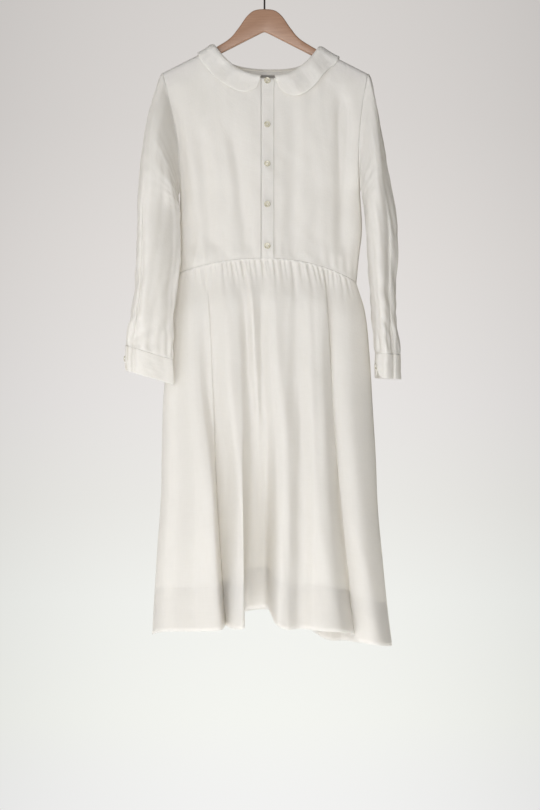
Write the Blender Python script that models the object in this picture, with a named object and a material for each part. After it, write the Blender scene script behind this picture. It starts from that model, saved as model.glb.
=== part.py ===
"""Long sleeve dress hanging on a wooden hanger, at real size.

Metres, +Z up, the front faces -Y. The origin is the top of the hook's inside, where a rail
carries it. Right and left are the wearer's, so the right sleeve is on the -X side.
Each cloth piece is a wall: a grid of points on a shared surface, and the same grid moved in.
"""
from math import acos, cos, exp, hypot, pi, radians, sin, sqrt

import bmesh
import bpy
from mathutils import Vector

# Cloth and seams
CLOTH = 0.0015
SEAM = 0.0003
LIE = 0.0003
WAIST_GAP = 0.0004

# Hanger: a flat plate with sloping arms and a rounded hump that takes the hook
ARM_SLOPE = 0.51
ARM_TOP = 0.1015
ARM_HEIGHT = 0.0168
ARM_REACH = 0.196
PLATE_HALF = 0.0055
HUMP = ((0.0, 0.0748), (0.012, 0.0755), (0.0225, 0.0785), (0.0300, 0.0842), (0.0360, 0.0905),
        (0.0410, 0.0975), (0.0470, 0.1065), (0.0540, 0.1160), (0.0620, 0.1262), (0.0720, 0.1352),
        (0.0850, 0.1435))
WIRE = 0.00175
HOOK_RADIUS = 0.0215
SHANK_END = 0.0900
SHANK_TOP = 0.0570

# Bodice: the cloth runs over the arms in a small round and falls with a slight flare
RIDGE_TOP = 0.0978
ROUND = 0.0095
FLARE = 0.077
SHOULDER_X = 0.198
SHOULDER_LEFT = 0.202
UNDERARM_Z = -0.427
NECK_CENTRE = 0.004
NECK_HALF = 0.104
NECK_FRONT = 0.0600
NECK_BACK = 0.0420

# Rows of the bodice: height, right edge, left edge
BODICE_EDGES = (
    (-0.198, -0.198, 0.202),
    (-0.271, -0.181, 0.190),
    (-0.330, -0.170, 0.184),
    (-0.388, -0.1655, 0.184),
    (-0.427, -0.165, 0.186),
    (-0.505, -0.165, 0.190),
    (-0.560, -0.166, 0.184),
    (-0.620, -0.167, 0.178),
)

# Soft valleys of the bodice's front: top x, top z, low x, low z, half width, depth
BODICE_FOLDS = (
    (-0.176, -0.245, -0.140, -0.560, 0.012, 0.009),
    (-0.126, -0.300, -0.100, -0.560, 0.014, 0.006),
    (-0.062, -0.310, -0.030, -0.560, 0.012, 0.005),
    (0.057, -0.250, 0.054, -0.560, 0.014, 0.005),
    (0.150, -0.280, 0.128, -0.560, 0.013, 0.006),
)

# Skirt levels: share of the way down, right edge, left edge, front depth, back depth
SKIRT_LEVELS = (
    (0.00, -0.166, 0.179, 0.045, 0.045),
    (0.08, -0.174, 0.196, 0.055, 0.050),
    (0.20, -0.186, 0.205, 0.064, 0.060),
    (0.34, -0.197, 0.211, 0.075, 0.070),
    (0.48, -0.200, 0.217, 0.084, 0.078),
    (0.62, -0.202, 0.221, 0.092, 0.084),
    (0.76, -0.209, 0.230, 0.098, 0.090),
    (0.90, -0.215, 0.240, 0.103, 0.094),
    (1.00, -0.219, 0.249, 0.106, 0.098),
)

# Levels at which the skirt's folds are given, as shares of the way down
FOLD_LEVELS = (0.0, 0.20, 0.56, 1.0)

# Folds of the skirt's front, right seam to left seam: x at the four levels,
# how far they stand out at the last three, and the hem's height
FRONT_FOLDS = (
    (-0.1660, -0.1860, -0.2012, -0.2190, 0.000, 0.000, 0.000, -1.2930),
    (-0.1610, -0.1780, -0.1890, -0.2030, 0.000, 0.003, 0.004, -1.2830),
    (-0.1550, -0.1640, -0.1655, -0.1720, -0.001, -0.007, -0.006, -1.2800),
    (-0.1460, -0.1462, -0.1330, -0.1290, 0.005, 0.012, 0.013, -1.2755),
    (-0.1355, -0.1290, -0.1100, -0.0920, 0.001, 0.008, 0.011, -1.2720),
    (-0.1215, -0.1142, -0.0970, -0.0820, -0.010, -0.022, -0.034, -1.2661),
    (-0.1008, -0.0950, -0.0740, -0.0700, -0.007, -0.018, -0.028, -1.2651),
    (-0.0816, -0.0734, -0.0540, -0.0570, 0.006, 0.005, 0.013, -1.2696),
    (-0.0643, -0.0500, -0.0380, -0.0425, 0.001, 0.001, 0.006, -1.2640),
    (-0.0510, -0.0335, -0.0230, -0.0310, -0.009, -0.026, -0.100, -1.2480),
    (-0.0330, -0.0199, -0.0085, -0.0128, 0.002, -0.030, -0.110, -1.2440),
    (-0.0105, -0.0047, 0.0069, 0.0060, -0.009, -0.026, -0.098, -1.2420),
    (0.0055, 0.0120, 0.0240, 0.0210, 0.002, 0.002, 0.004, -1.2590),
    (0.0240, 0.0290, 0.0449, 0.0429, 0.006, 0.012, 0.014, -1.2697),
    (0.0540, 0.0606, 0.0718, 0.0697, -0.005, -0.006, -0.006, -1.2703),
    (0.0800, 0.0880, 0.0960, 0.0978, 0.004, 0.009, 0.011, -1.2720),
    (0.1010, 0.1060, 0.1173, 0.1430, 0.001, 0.006, 0.009, -1.2765),
    (0.1190, 0.1215, 0.1336, 0.1680, -0.009, -0.022, -0.044, -1.2900),
    (0.1380, 0.1400, 0.1520, 0.1920, 0.000, -0.004, -0.016, -1.3020),
    (0.1570, 0.1640, 0.1760, 0.2240, 0.005, 0.009, 0.012, -1.3080),
    (0.1790, 0.2050, 0.2190, 0.2490, 0.000, 0.000, 0.000, -1.3140),
)

# Flutes of the skirt's back, left seam to right seam: share of the way round,
# how far they stand out at the last three levels, and the hem's height
BACK_FOLDS = (
    (0.00, 0.000, 0.000, 0.000, -1.3140),
    (0.06, 0.002, 0.004, 0.008, -1.3150),
    (0.14, -0.004, -0.012, -0.022, -1.3170),
    (0.22, 0.004, 0.008, 0.012, -1.3180),
    (0.30, -0.002, -0.006, -0.012, -1.3140),
    (0.38, 0.004, 0.010, 0.014, -1.2900),
    (0.45, -0.005, -0.016, -0.032, -1.2640),
    (0.52, 0.003, 0.006, 0.012, -1.2570),
    (0.60, -0.002, -0.007, -0.012, -1.2590),
    (0.68, 0.004, 0.011, 0.016, -1.2720),
    (0.76, -0.005, -0.014, -0.026, -1.2820),
    (0.85, 0.004, 0.007, 0.012, -1.2870),
    (0.93, -0.001, -0.005, -0.010, -1.2930),
    (1.00, 0.000, 0.000, 0.000, -1.2930),
)
GATHER_DEPTH = 0.0030

# Sleeve sections below the armhole: outer x, outer z, inner x, inner z, half depth, middle y
RIGHT_SLEEVE = (
    (-0.2080, -0.216, -0.1672, -0.4310, 0.030, -0.001),
    (-0.2185, -0.255, -0.1672, -0.4355, 0.040, -0.003),
    (-0.2280, -0.292, -0.1672, -0.4410, 0.047, -0.006),
    (-0.2345, -0.332, -0.1672, -0.4500, 0.052, -0.010),
    (-0.2400, -0.377, -0.1672, -0.4640, 0.054, -0.015),
    (-0.2440, -0.430, -0.1675, -0.4880, 0.053, -0.021),
    (-0.2462, -0.492, -0.1678, -0.5260, 0.050, -0.028),
    (-0.2474, -0.560, -0.1685, -0.5780, 0.046, -0.036),
    (-0.2500, -0.622, -0.1705, -0.6340, 0.040, -0.044),
    (-0.2580, -0.680, -0.1735, -0.6930, 0.033, -0.051),
    (-0.2650, -0.733, -0.1755, -0.7600, 0.026, -0.055),
)
LEFT_SLEEVE = (
    (0.2130, -0.222, 0.1895, -0.4310, 0.030, 0.000),
    (0.2190, -0.262, 0.1900, -0.4360, 0.040, -0.001),
    (0.2265, -0.308, 0.1910, -0.4430, 0.047, -0.002),
    (0.2340, -0.350, 0.1925, -0.4530, 0.052, -0.003),
    (0.2410, -0.394, 0.1945, -0.4680, 0.055, -0.004),
    (0.2500, -0.440, 0.1962, -0.4900, 0.056, -0.005),
    (0.2580, -0.496, 0.1985, -0.5260, 0.055, -0.006),
    (0.2590, -0.558, 0.2010, -0.5760, 0.053, -0.007),
    (0.2560, -0.620, 0.2050, -0.6300, 0.050, -0.008),
    (0.2575, -0.684, 0.2110, -0.6880, 0.046, -0.009),
    (0.2645, -0.7495, 0.2155, -0.7470, 0.041, -0.010),
)
CUFF_HEIGHT = 0.047

LABEL_THICK = 0.0008
COLLAR_WIDTH = 0.038
COLLAR_START = 0.115
COLLAR_END = 2 * pi - 0.165
# The collar's roll at the neck edge: across from the neckline, height over the cloth
COLLAR_ROLL = ((-0.0022, -0.0004), (-0.0034, 0.0020), (-0.0022, 0.0044), (0.0010, 0.0054),
               (0.0060, 0.0048), (0.0130, 0.0036), (0.0230, 0.0028), (0.0380, 0.0023))

BAND_RIGHT = -0.0058
BAND_LEFT = 0.0185
BUTTON_X = 0.0055
BUTTON_HEIGHTS = (-0.2170, -0.3030, -0.3800, -0.4590, -0.5400)

LINEN = ((0.78, 0.76, 0.72), 0.9, 0.0)
SHELL = ((0.62, 0.58, 0.44), 0.25, 0.0)
LABEL = ((0.05, 0.05, 0.06), 0.8, 0.0)
WOOD = ((0.38, 0.24, 0.15), 0.5, 0.0)
STEEL = ((0.10, 0.10, 0.11), 0.35, 1.0)


def mix(first, second, share):
    return first + (second - first) * share


def smooth_step(low, high, value):
    share = min(max((value - low) / (high - low), 0.0), 1.0)
    return share * share * (3.0 - 2.0 * share)


def curve_at(places, values, place):
    """A smooth curve through the values, level beyond its ends."""
    if place <= places[0]:
        return values[0]
    if place >= places[-1]:
        return values[-1]
    last = len(places) - 1
    index = 0
    while place > places[index + 1]:
        index += 1

    def slope(i):
        before = max(i - 1, 0)
        after = min(i + 1, last)
        return (values[after] - values[before]) / (places[after] - places[before])

    step = places[index + 1] - places[index]
    t = (place - places[index]) / step
    start = values[index] * (1 + 2 * t) * (1 - t) ** 2 + slope(index) * step * t * (1 - t) ** 2
    end = values[index + 1] * t * t * (3 - 2 * t) - slope(index + 1) * step * t * t * (1 - t)
    return start + end


def columns(table):
    return tuple(zip(*table))


def ridge_z(x):
    """Height of the cloth where it runs over the hanger's arms."""
    return -RIDGE_TOP - ARM_SLOPE * sqrt(x * x + 0.0002)


def neck_z(x, front):
    """Height of the neckline at x, on the front or the back."""
    across = min(abs(x - NECK_CENTRE) / NECK_HALF, 1.0)
    point = ridge_z(NECK_CENTRE + (NECK_HALF if x > NECK_CENTRE else -NECK_HALF))
    if front:
        return point - NECK_FRONT * (1 - across ** 2.4) ** 0.91
    return point - NECK_BACK * (1 - across ** 3) ** 0.62


def top_z(x, front):
    """Top edge of a bodice piece: the neckline, and the shoulder beyond it."""
    if abs(x - NECK_CENTRE) < NECK_HALF:
        return neck_z(x, front)
    return ridge_z(x)


def waist_z(x):
    """The waist seam hangs lower at the sides."""
    side = -0.166 if x < 0 else 0.179
    drop = 0.026 if x < 0 else 0.044
    return -0.5650 - drop * abs(x / side) ** 2.2


def waist_end(side):
    """Where the side seam meets the waist seam."""
    x = side * 0.17
    for _ in range(8):
        x = edges(waist_z(x))[side > 0]
    return x


def edges(z):
    heights, right, left = columns(BODICE_EDGES)
    down = [-h for h in heights]
    return curve_at(down, right, -z), curve_at(down, left, -z)


def depth_below_ridge(x, z):
    """How far the cloth stands from the hanger's plane at a point below the ridge."""
    drop = max(ridge_z(x) - z, 0.0)
    if drop < ROUND:
        return sqrt(drop * (2 * ROUND - drop))
    return ROUND + FLARE * (drop - ROUND)


def section_share(x, z):
    """Share of the full depth left at x: none at the side seam, all along the armhole's top."""
    right, left = edges(z)
    middle = (right + left) / 2
    across = min(abs(x - middle) / ((left - right) / 2), 1.0)
    rounded = sqrt(max(1 - across ** 2.5, 0.0))
    shoulder = -SHOULDER_X
    share = min(max((z - shoulder) / (UNDERARM_Z - shoulder), 0.0), 1.0)
    open_share = sqrt(1 - share ** 3)
    return open_share + (1 - open_share) * rounded


def bodice_folds(x, z):
    total = 0.0
    for x_top, z_top, x_low, z_low, half, depth in BODICE_FOLDS:
        share = min(max((z_top - z) / (z_top - z_low), 0.0), 1.0)
        away = (x - mix(x_top, x_low, share)) / half
        grow = smooth_step(z_top + 0.03, z_top - 0.06, z) * smooth_step(-0.562, -0.530, z)
        total += depth * grow * exp(-away * away)
    return total


def bodice_point(x, z, front):
    depth = depth_below_ridge(x, z)
    share = section_share(x, z)
    if not front:
        return Vector((x, SEAM / 2 + depth * share, z))
    ease = smooth_step(0.02, 0.06, ridge_z(x) - z) * share
    return Vector((x, -SEAM / 2 - (depth * share - min(bodice_folds(x, z), depth * 0.4) * ease), z))


def bodice_panel(u, v, inner_x, side, front):
    """Point of a bodice piece: u from inner_x to the side's edge, v from top to waist."""
    x_top = mix(inner_x, side * SHOULDER_X, u)
    for _ in range(8):
        z_top = top_z(x_top, front)
        x_top = mix(inner_x, edges(z_top)[side > 0], u)
    x_low = mix(inner_x, waist_end(side), u)
    for _ in range(4):
        x_low = mix(inner_x, edges(waist_z(x_low))[side > 0], u)
    z = mix(z_top, waist_z(x_low) + SEAM / 2, v)
    x = mix(inner_x, edges(z)[side > 0], u)
    return bodice_point(x, z, front)


def skirt_edges(share):
    """Right and left edges of the skirt, from the waist seam's ends down."""
    levels, rights, lefts = columns(SKIRT_LEVELS)[:3]
    rights = (waist_end(-1),) + rights[1:]
    lefts = (waist_end(1),) + lefts[1:]
    return curve_at(levels, rights, share), curve_at(levels, lefts, share)


def skirt_section(x, share, waist_x, back):
    """Depth of the skirt's plain section at x."""
    levels, fronts, backs = (columns(SKIRT_LEVELS)[k] for k in (0, 3, 4))
    right, left = skirt_edges(share)
    middle = (right + left) / 2
    across = min(abs(x - middle) / ((left - right) / 2), 1.0)
    rounded = sqrt(max(1 - across ** 2.5, 0.0))
    low = curve_at(levels, backs if back else fronts, share) * rounded
    waist_depth = depth_below_ridge(waist_x, waist_z(waist_x))
    waist = waist_depth * section_share(waist_x, waist_z(waist_x))
    return mix(waist, low, smooth_step(0.0, 0.12, share)), across


def gathers(phase, share, down):
    """Small waves under the waist seam, uneven, gone a hand's width below it."""
    rise = smooth_step(0.0, 0.012, down) * (1 - smooth_step(0.03, 0.12, down))
    uneven = 0.7 + 0.3 * sin(phase * 0.37 + share)
    return GATHER_DEPTH * rise * uneven * cos(phase)


def skirt_front(u, v):
    """Point of the skirt's front: u from the right seam to the left seam, v down to the hem."""
    place = u * (len(FRONT_FOLDS) - 1)
    index = range(len(FRONT_FOLDS))
    table = columns(FRONT_FOLDS)
    parts = []
    for k in range(4):
        right, left = table[k][0], table[k][-1]
        parts.append((curve_at(index, table[k], place) - right) / (left - right))
    outs = [0.0] + [curve_at(index, table[k], place) for k in range(4, 7)]
    right, left = skirt_edges(v)
    x = mix(right, left, curve_at(FOLD_LEVELS, parts, v))
    waist_x = mix(waist_end(-1), waist_end(1), parts[0])
    z = mix(waist_z(waist_x) - WAIST_GAP, curve_at(index, table[7], place), v)
    depth, across = skirt_section(x, v, waist_x, back=False)
    ripple = gathers(2 * pi * place, place, v * 0.72) * (1 - across ** 4)
    out = curve_at(FOLD_LEVELS, outs, v) * (1 - across ** 8) + ripple
    return Vector((x, -SEAM / 2 - depth - out, z))


def skirt_back(u, v):
    """Point of the skirt's back: u from the left seam to the right seam, v down to the hem."""
    shares, hip, knee, hem, heights = columns(BACK_FOLDS)
    round_share = 0.5 - 0.5 * cos(pi * u)
    across_share = mix(u, round_share, 0.35)
    right, left = skirt_edges(v)
    x = mix(left, right, across_share)
    waist_x = mix(waist_end(1), waist_end(-1), across_share)
    z = mix(waist_z(waist_x) - WAIST_GAP, curve_at(shares, heights, u), v)
    outs = (0.0, curve_at(shares, hip, u), curve_at(shares, knee, u), curve_at(shares, hem, u))
    depth, across = skirt_section(x, v, waist_x, back=True)
    ripple = gathers(2 * pi * u * 14, u, v * 0.72) * (1 - across ** 4)
    out = curve_at(FOLD_LEVELS, outs, v) * (1 - across ** 8) + ripple
    return Vector((x, SEAM / 2 + depth + out, z))


def armhole_point(angle, side):
    """Point of the armhole: angle 0 at the shoulder, pi at the underarm, the front between."""
    reach = 0.5 - 0.5 * cos(angle)
    z = mix(-SHOULDER_X - 0.0006, UNDERARM_Z - 0.0006, reach)
    x = edges(z)[side > 0]
    front = sin(angle) >= 0
    point = bodice_point(x, min(z, ridge_z(x)), front)
    point.x += side * 0.0006
    return point


def sleeve_point(u, v, side):
    """Point of a sleeve: u once round from the shoulder by the front, v down its sections."""
    table = RIGHT_SLEEVE if side < 0 else LEFT_SLEEVE
    shoulder_x, underarm_x = (edges(z)[side > 0] for z in (-SHOULDER_X, UNDERARM_Z))
    top = (shoulder_x, -SHOULDER_X, underarm_x, UNDERARM_Z, 0.024, 0.0)
    rows = (top,) + table
    index = range(len(rows))
    place = v * (len(rows) - 1)
    data = [curve_at(index, column, place) for column in columns(rows)]
    outer_x, outer_z, inner_x, inner_z, half, middle_y = data
    angle = 2 * pi * u
    reach = 0.5 - 0.5 * cos(angle)
    wave = sleeve_fold(angle, v, side)
    x = mix(outer_x, inner_x, reach)
    z = mix(outer_z, inner_z, reach)
    y = middle_y - (half - wave) * sin(angle)
    free = Vector((x, y, z))
    hold = 1 - smooth_step(0.0, 2.8, place)
    if hold <= 0:
        return free
    return free.lerp(armhole_point(angle, side), hold)


def sleeve_fold(angle, v, side):
    """Long soft valleys in the front and the back of a sleeve."""
    grow = smooth_step(0.25, 0.55, v) * (1 - smooth_step(0.93, 1.0, v))
    near = (0.9 if side < 0 else 1.2)
    valley = exp(-((angle - near) / 0.35) ** 2) + 0.6 * exp(-((angle - 2.3) / 0.3) ** 2)
    back = 0.8 * exp(-((angle - 4.4) / 0.4) ** 2)
    return 0.006 * grow * (valley + back)


def cuff_point(u, v, side):
    """Point of a cuff: an open band round the sleeve's end, its ends overlapping by a button."""
    table = RIGHT_SLEEVE if side < 0 else LEFT_SLEEVE
    outer_x, outer_z, inner_x, inner_z, half, middle_y = table[-1]
    start = radians(12) if side < 0 else radians(144)
    angle = start + 2 * pi * u * 1.045
    turn = angle % (2 * pi)
    reach = 0.5 - 0.5 * cos(turn)
    lap = 0.0022 * smooth_step(0.90, 0.955, u)
    grow = 1 + 0.03 * v
    middle_x = (outer_x + inner_x) / 2
    x = middle_x - (inner_x - outer_x) / 2 * cos(turn) * grow
    y = middle_y - half * sin(turn) * grow
    out = Vector((-(inner_x - outer_x) * cos(turn) / half, -sin(turn) * 1.2, 0)).normalized()
    z = mix(outer_z, inner_z, reach) - SEAM - CUFF_HEIGHT * v
    ends = smooth_step(0.06, 0.0, u) + smooth_step(0.955, 1.0, u)
    rounding = ends * smooth_step(0.5, 1.0, v) * 0.010
    return Vector((x, y, z + rounding)) + out * lap


def neck_curve(angle):
    """Neckline as x and height: 0 at the front middle, going by the wearer's right side."""
    x = NECK_CENTRE - NECK_HALF * sin(angle)
    front = cos(angle) > 0
    return x, neck_z(x, front), front


def unrolled(x, z, front):
    """Signed way from the ridge down the cloth, front negative."""
    drop = max(ridge_z(x) - z, 0.0)
    if drop < ROUND:
        way = ROUND * acos(1 - drop / ROUND)
    else:
        way = ROUND * pi / 2 + drop - ROUND
    return -way if front else way


def rolled(x, way):
    """Bodice point at x and a signed way from the ridge."""
    side = -1 if way < 0 else 1
    length = abs(way)
    if length < ROUND * pi / 2:
        turn = length / ROUND
        z = ridge_z(x) - ROUND * (1 - cos(turn))
        y = ROUND * sin(turn)
    else:
        z = ridge_z(x) - ROUND - (length - ROUND * pi / 2)
        y = ROUND + FLARE * (length - ROUND * pi / 2)
    return Vector((x, side * y, z))


def neck_frame(angle):
    """Neckline place in the unrolled cloth, and the direction away from the neck."""
    x, z, front = neck_curve(angle)
    here = (x, unrolled(x, z, front))
    step = 0.05
    before = neck_curve(angle - step)
    after = neck_curve(angle + step)
    along = (after[0] - before[0], unrolled(*after) - unrolled(*before))
    size = hypot(*along)
    return here, (-along[1] / size, along[0] / size)


def lift_from(x, way, height):
    """Bodice point moved out by a height."""
    step = 0.002
    across = rolled(x + step, way) - rolled(x - step, way)
    down = rolled(x, way + step) - rolled(x, way - step)
    normal = across.cross(down)
    normal.normalize()
    return rolled(x, way) + normal * height


def collar_width(angle):
    """Width of the collar, rounded at its two front ends."""
    ends = min(angle - COLLAR_START, COLLAR_END - angle)
    share = min(max(ends / 0.32, 0.0), 1.0)
    wide = COLLAR_WIDTH * (1 - 0.27 * exp(-(angle - 1.0) ** 4) - 0.24 * exp(-((angle - 5.25) / 0.42) ** 2))
    return mix(0.016, wide, sqrt(1 - (1 - share) ** 2))


def collar_point(u, v):
    angle = mix(COLLAR_START, COLLAR_END, u)
    here, away = neck_frame(angle)
    last = len(COLLAR_ROLL) - 1
    across_steps, lifts = columns(COLLAR_ROLL)
    across = curve_at(range(last + 1), across_steps, v * last)
    height = curve_at(range(last + 1), lifts, v * last)
    if across > 0:
        across *= collar_width(angle) / COLLAR_WIDTH
    stand = 0.005 * exp(-((angle - 5.55) / 0.45) ** 2) + 0.0015 * exp(-((angle - 0.6) / 0.3) ** 2)
    height += stand * smooth_step(0.25, 1.0, v)
    x = here[0] + away[0] * across
    way = here[1] + away[1] * across
    height += 0.0012 * exp(-(way / 0.012) ** 2) * smooth_step(0.3, 0.6, v)
    return lift_from(x, way, height)


def binding_point(u, v):
    """Strip inside the back neck, against the cloth's inner face."""
    x, z, front = neck_curve(mix(pi / 2 + 0.45, 3 * pi / 2 - 0.45, u))
    z = min(z, ridge_z(x) - 0.012) - 0.0015 - 0.010 * v
    return lift_from(x, unrolled(x, z, False), -2 * CLOTH - LIE)


def label_point(u, v):
    """Small plain label under the binding, inside the back."""
    x = mix(0.0023 - 0.0185, 0.0023 + 0.0185, u)
    z = neck_z(x, False) - 0.0125 - 0.007 * v
    return lift_from(x, unrolled(x, z, False), -CLOTH - LIE - LABEL_THICK)


def band_point(u, v):
    """The button band: a strip over both fronts' edges."""
    x = mix(BAND_RIGHT, BAND_LEFT, u)
    z = mix(neck_z(x, True) - 0.0004, waist_z(x) + 0.0006, v)
    return bodice_point(x, z, True) - Vector((0, CLOTH + LIE, 0))


def shares(count):
    return [i / count for i in range(count + 1)]


def patch(name, surface, us, vs, finish, closed=False, facing=1, offset=0.0, thick=CLOTH, level=None):
    """A cloth piece: a wall between a surface and the same surface moved in along its normal."""
    step = 0.002
    outer, inner = [], []
    for v in vs:
        outer_row, inner_row = [], []
        for u in us:
            before_u, after_u = u - step, u + step
            if not closed:
                before_u, after_u = max(before_u, us[0]), min(after_u, us[-1])
            before_v, after_v = max(v - step, vs[0]), min(v + step, vs[-1])
            across = surface(after_u, v) - surface(before_u, v)
            down = surface(u, after_v) - surface(u, before_v)
            normal = down.cross(across) * facing
            normal.normalize()
            point = surface(u, v)
            if level:
                normal = level(normal, across, v)
            if abs(point.y) < SEAM * 1.5:
                normal.y = 0
            if normal.length == 0:
                normal = Vector((0, 0, 1))
            normal.normalize()
            outer_row.append(point + normal * offset)
            inner_row.append(point + normal * (offset - thick))
        outer.append(outer_row)
        inner.append(inner_row)
    mesh = bpy.data.meshes.new(name)
    bm = bmesh.new()
    outer_verts = [[bm.verts.new(p) for p in row] for row in outer]
    inner_verts = [[bm.verts.new(p) for p in row] for row in inner]
    wide = len(us)
    rows = len(vs)
    across_steps = range(wide if closed else wide - 1)
    for j in range(rows - 1):
        for i in across_steps:
            k = (i + 1) % wide
            bm.faces.new((outer_verts[j][i], outer_verts[j + 1][i], outer_verts[j + 1][k], outer_verts[j][k]))
            bm.faces.new((inner_verts[j][i], inner_verts[j][k], inner_verts[j + 1][k], inner_verts[j + 1][i]))
    for i in across_steps:
        k = (i + 1) % wide
        bm.faces.new((outer_verts[0][i], outer_verts[0][k], inner_verts[0][k], inner_verts[0][i]))
        bm.faces.new((outer_verts[-1][i], inner_verts[-1][i], inner_verts[-1][k], outer_verts[-1][k]))
    if not closed:
        for j in range(rows - 1):
            bm.faces.new((outer_verts[j][0], inner_verts[j][0], inner_verts[j + 1][0], outer_verts[j + 1][0]))
            bm.faces.new((outer_verts[j][-1], outer_verts[j + 1][-1], inner_verts[j + 1][-1], inner_verts[j][-1]))
    bmesh.ops.recalc_face_normals(bm, faces=bm.faces)
    bm.to_mesh(mesh)
    bm.free()
    return add_object(name, mesh, finish)


def add_object(name, data, finish):
    """Put the data in the scene as a named object with its own material."""
    item = bpy.data.objects.new(name, data)
    bpy.context.scene.collection.objects.link(item)
    colour, roughness, metallic = finish
    material = bpy.data.materials.new(name + "_material")
    material.use_nodes = True
    shader = material.node_tree.nodes["Principled BSDF"]
    shader.inputs["Base Color"].default_value = (*colour, 1.0)
    shader.inputs["Roughness"].default_value = roughness
    shader.inputs["Metallic"].default_value = metallic
    material.diffuse_color = (*colour, 1.0)
    data.materials.append(material)
    return item


def steps_to_shoulder(neck_share):
    """Columns from the middle to the shoulder's end, close together at the neck point."""
    to_neck = [neck_share * s for s in (0, 0.24, 0.46, 0.65, 0.79, 0.89, 0.95, 0.98, 0.993, 1)]
    return to_neck + [neck_share + (1 - neck_share) * s for s in (0.12, 0.42, 0.68, 0.86, 0.96, 1)]


def make_bodice():
    down = (0.0, 0.0016, 0.006, 0.015, 0.035, 0.10, 0.21, 0.33, 0.45, 0.57, 0.70, 0.85, 1.0)
    level = level_waist
    right_steps = steps_to_shoulder((NECK_HALF - NECK_CENTRE + BAND_RIGHT) / (SHOULDER_X + BAND_RIGHT))
    left_steps = steps_to_shoulder((NECK_HALF + NECK_CENTRE - BAND_RIGHT) / (SHOULDER_LEFT - BAND_RIGHT))
    back_steps = [0.5 - s / 2 for s in reversed(steps_to_shoulder(NECK_HALF / (SHOULDER_LEFT - NECK_CENTRE)))]
    back_steps += [0.5 + s / 2 for s in steps_to_shoulder(NECK_HALF / (SHOULDER_X + NECK_CENTRE))[1:]]

    def right_front(u, v):
        return bodice_panel(1 - u, v, BAND_RIGHT - SEAM, -1, True)

    def left_front(u, v):
        return bodice_panel(u, v, BAND_RIGHT + 0.0006, 1, True)

    def back(u, v):
        if u < 0.5:
            return bodice_panel(1 - 2 * u, v, NECK_CENTRE, 1, False)
        return bodice_panel(2 * u - 1, v, NECK_CENTRE, -1, False)

    patch("front_right", right_front, [1 - s for s in reversed(right_steps)], down, LINEN, level=level)
    patch("front_left", left_front, left_steps, down, LINEN, level=level)
    patch("back", back, back_steps, down, LINEN, level=level)


def level_waist(normal, across, v):
    """Level the normals towards the waist seam, so that its two rims are parallel."""
    return Vector((normal.x, normal.y, normal.z * (1 - smooth_step(0.85, 1.0, v))))


def level_skirt(normal, across, v):
    """Keep the skirt's normals level."""
    return Vector((normal.x, normal.y, 0))


def level_armhole(normal, across, v):
    """Turn the normals at the armhole into its plane, so that its two rims are parallel."""
    in_plane = across.cross(Vector((1, 0, 0))).normalized()
    return normal.lerp(in_plane, 1 - smooth_step(-0.03, 0.13, v))


def make_skirt():
    down = (0.0, 0.02, 0.06, 0.12, 0.22, 0.36, 0.52, 0.70, 0.88, 1.0)
    patch("skirt_front", skirt_front, shares(80), down, LINEN, level=level_skirt)
    patch("skirt_back", skirt_back, shares(56), down, LINEN, level=level_skirt)
    band = (0.88, 0.996)
    inside = -CLOTH - LIE
    front = shares(80)[1:-1]
    back = shares(56)[1:-1]
    patch("hem_front", skirt_front, front, band, LINEN, offset=inside, thick=0.0010, level=level_skirt)
    patch("hem_back", skirt_back, back, band, LINEN, offset=inside, thick=0.0010, level=level_skirt)


def make_sleeves():
    last = len(RIGHT_SLEEVE)
    down = shares(last)
    around = shares(28)[:-1]
    for name, side in (("right", -1), ("left", 1)):

        def surface(u, v, side=side):
            return sleeve_point(u, v, side)

        def band(u, v, side=side):
            return cuff_point(u, v, side)

        patch("sleeve_" + name, surface, around, down, LINEN, closed=True, facing=-side, level=level_armhole)
        patch("cuff_" + name, band, shares(28), shares(3), LINEN, facing=-side)


def collar_steps():
    """Columns of the collar, close together at its ends and over the hanger's arms."""
    near = (0.03, 0.06, 0.10, 0.16, 0.26, 0.42)
    angles = [COLLAR_START + a for a in (0.0, 0.035, 0.09, 0.17, 0.30, 0.50, 0.75)]
    angles += [COLLAR_END - a for a in (0.0, 0.035, 0.09, 0.17, 0.30, 0.50, 0.75)]
    for neck_point in (pi / 2, 3 * pi / 2):
        angles += [neck_point] + [neck_point - a for a in near] + [neck_point + a for a in near]
    angles += [pi + a for a in (-0.85, -0.5, -0.17, 0.17, 0.5, 0.85)]
    return [(a - COLLAR_START) / (COLLAR_END - COLLAR_START) for a in sorted(angles)]


def make_trim():
    patch("button_band", band_point, shares(4), shares(10), LINEN)
    patch("neck_binding", binding_point, shares(16), shares(1), LINEN)
    patch("neck_label", label_point, shares(4), shares(1), LABEL, thick=LABEL_THICK)
    patch("collar", collar_point, collar_steps(), shares(8), LINEN)


def make_button(name, centre, facing):
    """A turned disc with a raised rim."""
    profile = ((0.0, 0.0), (0.0052, 0.0), (0.0060, 0.0007), (0.0060, 0.0017), (0.0054, 0.0023),
               (0.0045, 0.0019), (0.0, 0.0017))
    bm = bmesh.new()
    verts = [bm.verts.new((radius, 0.0, height)) for radius, height in profile]
    edges_made = [bm.edges.new(pair) for pair in zip(verts, verts[1:])]
    bmesh.ops.spin(bm, geom=verts + edges_made, cent=(0, 0, 0), axis=(0, 0, 1), angle=2 * pi, steps=12)
    bmesh.ops.remove_doubles(bm, verts=bm.verts, dist=0.00001)
    bmesh.ops.recalc_face_normals(bm, faces=bm.faces)
    mesh = bpy.data.meshes.new(name)
    bm.to_mesh(mesh)
    bm.free()
    item = add_object(name, mesh, SHELL)
    item.rotation_euler = facing.to_track_quat("Z", "Y").to_euler()
    item.location = centre
    return item


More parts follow.
